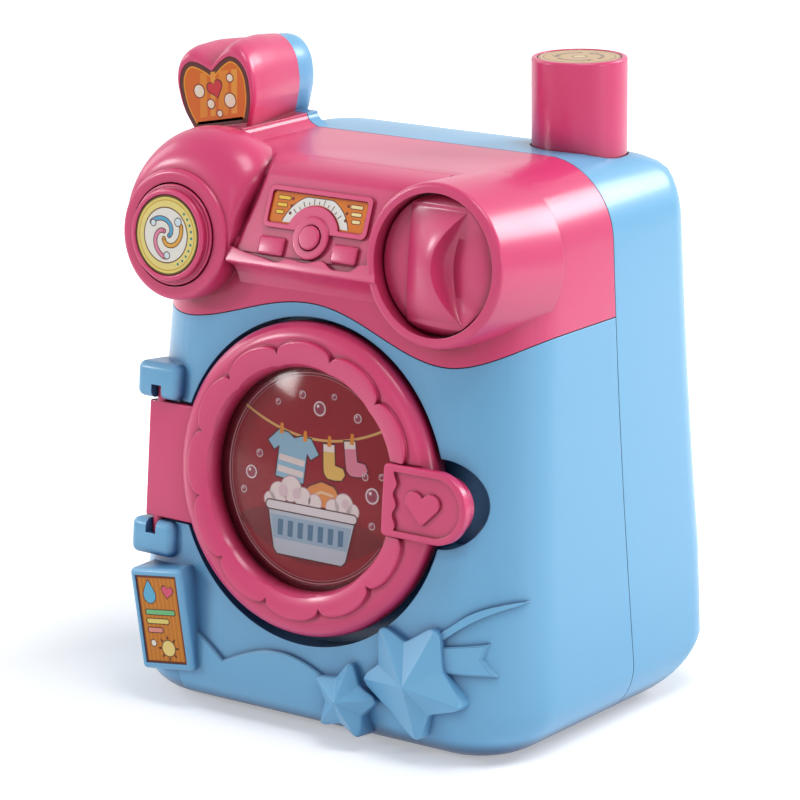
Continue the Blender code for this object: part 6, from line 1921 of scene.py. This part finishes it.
def plunger_art():
    """Tan disc with an arrow that points down and a ring of dashes."""
    art = new_art()
    disc(art, (0.0, 0.0), 0.0131, "#A97C4B", 1, 96)
    disc(art, (0.0, 0.0), 0.0125, "#D9B27C", 2, 96)
    disc(art, (0.0, 0.0), 0.0117, "#8F6A3E", 3, 96)
    disc(art, (0.0, 0.0), 0.0113, "#CFA56C", 4, 96)
    for k in range(3):
        angle = 2.0 * math.pi * k / 3
        line = [(7.4 * math.cos(angle + 0.07 * i), 7.4 * math.sin(angle + 0.07 * i)) for i in range(20)]
        stroke(art, mm(line), 0.0011, "#7D5A33", 5)
        end = angle + 0.07 * 19 + 0.10
        patch(art, mm([(5.6 * math.cos(end), 5.6 * math.sin(end)), (9.2 * math.cos(end), 9.2 * math.sin(end)),
                       (7.4 * math.cos(end + 0.36), 7.4 * math.sin(end + 0.36))]), "#7D5A33", 5)
    disc(art, (0.0, 0.0), 0.0026, "#7D5A33", 5)
    disc(art, (0.0, 0.0), 0.0020, "#E6C795", 6)
    return art


# Assembly

def show(thing, name, made_of, body, node_name, angle=math.radians(17.0)):
    thing.name = name
    thing.data.name = name
    thing.data.materials.clear()
    thing.data.materials.append(made_of)
    thing.data.shade_smooth()
    thing.data.set_sharp_from_angle(angle=angle)
    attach(thing, body)
    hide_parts(node_name)
    return thing


show(make_front_shell(), "front_shell_skin", blue_abs, "housing", "front_shell")
show(make_rear_shell(), "rear_shell_skin", blue_abs, "housing", "rear_shell")
show(make_hood(), "top_hood_skin", pink_abs, "housing", "top_hood")
show(make_door_ring(), "door_ring_skin", pink_abs, "door", "door_ring", math.radians(34.0))
show(make_door_handle(), "door_handle_skin", pink_abs, "door", "door_handle")
show(make_window(), "door_window_skin", clear, "door", "door_window")
show(make_dial(), "dial_knob_skin", pink_abs, "dial", "dial_knob", math.radians(28.0))
show(make_left_button(), "left_button_skin", pink_abs, "left_push_button", "left_button")
show(make_start_button(), "start_button_skin", pink_abs, "start_push_button", "start_button")
show(make_plunger(), "plunger_skin", pink_abs, "spin_plunger", "plunger")

# The film's dark maroon is painted shade, standing for the drum's shaded inside seen through the window.
film = show(tinted(make_film(), "#6F0E22"), "window_picture_skin", film_print, "door", "window_picture")
badge = show(tinted(make_heart_badge(), "#5A1712"), "heart_badge_skin", label_print, "housing", "heart_badge")
show(tinted(make_display_label(), "#D9600F"), "display_label_skin", label_print, "housing", "display_label")
show(tinted(make_picture_label(), "#7A3510"), "picture_label_skin", label_print, "housing", "picture_label")
show(tinted(make_button_label(), "#6E5A22"), "button_label_skin", label_print, "left_push_button", "button_label")
label_low = plunger_top_height - plunger_label_pocket + label_gap
show(tinted(cylinder(plunger_label_radius, label_low, label_low + plunger_label_thickness, plunger_frame(),
                     round_sides), "#A97C4B"),
     "plunger_label_skin", label_print, "spin_plunger", "plunger_label")

finish_art(window_art(), "window_artwork", leaning(0.0, 0.0, film_depth()), film_print, "door")
finish_art(badge_art(), "badge_artwork",
           heart_frame(0.0) @ Matrix.Translation((0.0, heart_front_depth + badge_pocket - label_gap - badge_thickness, 0.0)),
           label_print, "housing")
finish_art(display_art(), "display_artwork",
           on_panel(0.0, 0.0) @ Matrix.Translation(
               (0.0, display_pocket_depth - bezel_raise - label_gap - display_label_thickness, 0.0)),
           label_print, "housing")
finish_art(button_art(), "button_artwork",
           leaning(button_x, button_up, -button_pod_proud - button_cap_proud + button_label_pocket - label_gap
                   - button_label_thickness), label_print, "left_push_button")
finish_art(picture_art(), "picture_artwork",
           box_frame() @ Matrix.Translation((0.0, picture_pocket - label_gap - picture_label_thickness, 0.0)),
           label_print, "housing")
top_frame = (Matrix.Translation((plunger_x, face_y + plunger_depth,
                                 door_centre_height + label_low + plunger_label_thickness))
             @ Matrix.Rotation(-math.pi / 2.0, 4, "X"))
finish_art(plunger_art(), "plunger_artwork", top_frame, label_print, "spin_plunger")

kept_finish = {"drum": drum_abs, "drum_gear": acetal, "idler_gear": acetal, "gear_plate": acetal, "rack": acetal,
               "click_wheel": acetal, "window_retainer": pink_abs}
for name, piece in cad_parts.items():
    if piece.hide_render:
        continue
    piece.data.materials.clear()
    piece.data.materials.append(kept_finish.get(name, steel))


# Floor, lamps and camera

def area_lamp(name, place, aim, width, height, power, colour="#FFFFFF"):
    lamp = bpy.data.lights.new(name, "AREA")
    lamp.shape = "RECTANGLE"
    lamp.size = width
    lamp.size_y = height
    lamp.energy = power
    lamp.color = tone(colour)[:3]
    thing = bpy.data.objects.new(name, lamp)
    bpy.context.scene.collection.objects.link(thing)
    thing.location = place
    thing.rotation_euler = (Vector(aim) - Vector(place)).to_track_quat("-Z", "Y").to_euler()
    return thing


bpy.ops.mesh.primitive_plane_add(size=6.0, location=(0.0, 0.0, -0.0002))
floor = bpy.context.object
floor.name = "studio_floor"
paper = bpy.data.materials.new("matt studio paper")
paper.use_nodes = True
tree = paper.node_tree
matt = tree.nodes["Principled BSDF"]
matt.inputs["Roughness"].default_value = 0.95
matt.inputs["Specular IOR Level"].default_value = 0.1
fibre = node(tree, "ShaderNodeTexNoise", Scale=1.0 / 0.004, Detail=3.0)
where = node(tree, "ShaderNodeTexCoord")
tree.links.new(where.outputs["Object"], fibre.inputs["Vector"])
pale = node(tree, "ShaderNodeMapRange", To_Min=0.90, To_Max=0.93)
tree.links.new(fibre.outputs["Fac"], pale.inputs["Value"])
tree.links.new(pale.outputs["Result"], matt.inputs["Base Color"])


def seen_rays(tree):
    """One for rays from the camera, a mirror or clear plastic, nought for the light that falls on things."""
    ray = node(tree, "ShaderNodeLightPath")
    both = node(tree, "ShaderNodeMath", operation="MAXIMUM")
    seen = node(tree, "ShaderNodeMath", operation="MAXIMUM")
    tree.links.new(ray.outputs["Is Glossy Ray"], both.inputs[0])
    tree.links.new(ray.outputs["Is Transmission Ray"], both.inputs[1])
    tree.links.new(ray.outputs["Is Camera Ray"], seen.inputs[0])
    tree.links.new(both.outputs["Value"], seen.inputs[1])
    return seen.outputs["Value"]


# The paper is lit from within where only the background shows, and keeps the shadow near the toy
far = node(tree, "ShaderNodeVectorMath", operation="LENGTH")
tree.links.new(where.outputs["Object"], far.inputs[0])
glow = node(tree, "ShaderNodeMapRange", From_Min=0.10, From_Max=0.34, To_Min=0.36, To_Max=1.0)
glow.interpolation_type = "SMOOTHSTEP"
tree.links.new(far.outputs["Value"], glow.inputs["Value"])
only = node(tree, "ShaderNodeMath", operation="MULTIPLY")
tree.links.new(glow.outputs["Result"], only.inputs[0])
tree.links.new(seen_rays(tree), only.inputs[1])
light = node(tree, "ShaderNodeEmission")
tree.links.new(only.outputs["Value"], light.inputs["Strength"])
total = node(tree, "ShaderNodeAddShader")
tree.links.new(matt.outputs["BSDF"], total.inputs[0])
tree.links.new(light.outputs["Emission"], total.inputs[1])
tree.links.new(total.outputs["Shader"], tree.nodes["Material Output"].inputs["Surface"])
floor.data.materials.append(paper)

world = bpy.data.worlds.new("studio")
bpy.context.scene.world = world
world.use_nodes = True
tree = world.node_tree
tree.nodes.clear()
sky_out = node(tree, "ShaderNodeOutputWorld")
backdrop = node(tree, "ShaderNodeBackground", Color=tone("#FFFFFF"), Strength=1.0)
fill = node(tree, "ShaderNodeBackground", Color=tone("#F4F6FF"), Strength=0.17)
choose = node(tree, "ShaderNodeMixShader")
tree.links.new(seen_rays(tree), choose.inputs["Fac"])
tree.links.new(fill.outputs["Background"], choose.inputs[1])
tree.links.new(backdrop.outputs["Background"], choose.inputs[2])
tree.links.new(choose.outputs["Shader"], sky_out.inputs["Surface"])

# Soft boxes: a broad one behind on the right, one overhead, a small one on the left and a weak one in front
area_lamp("rear_right_lamp", (0.56, 0.86, 0.66), (0.0, 0.0, 0.10), 0.52, 0.34, 6.8)
area_lamp("top_lamp", (0.36, -0.16, 1.02), (0.0, 0.0, 0.10), 0.42, 0.42, 4.2)
area_lamp("side_lamp", (1.15, 0.05, 0.34), (0.0, 0.0, 0.10), 0.26, 0.34, 1.7)
area_lamp("left_lamp", (-0.78, -0.70, 0.44), (0.0, 0.0, 0.10), 0.18, 0.15, 2.4)
area_lamp("left_fill_lamp", (-1.10, -0.15, 0.62), (0.0, 0.0, 0.10), 0.50, 0.50, 2.6)
area_lamp("front_lamp", (0.25, -1.20, 0.50), (0.0, 0.0, 0.10), 0.60, 0.50, 0.8)

lens = bpy.data.cameras.new("photo_camera")
lens.sensor_width = 36.0
lens.lens = 3886.79 * 36.0 / 800.0
lens.clip_start = 0.05
lens.clip_end = 20.0
camera = bpy.data.objects.new("photo_camera", lens)
bpy.context.scene.collection.objects.link(camera)
camera.matrix_world = (Matrix.Translation((0.7255, -0.97486, 0.4103))
                       @ Matrix.Rotation(math.radians(36.7168), 4, "Z")
                       @ Matrix.Rotation(math.radians(90.0 - 14.4347), 4, "X")
                       @ Matrix.Rotation(math.radians(-0.5975), 4, "Z"))
bpy.context.scene.camera = camera
bpy.context.scene.view_settings.view_transform = "Standard"
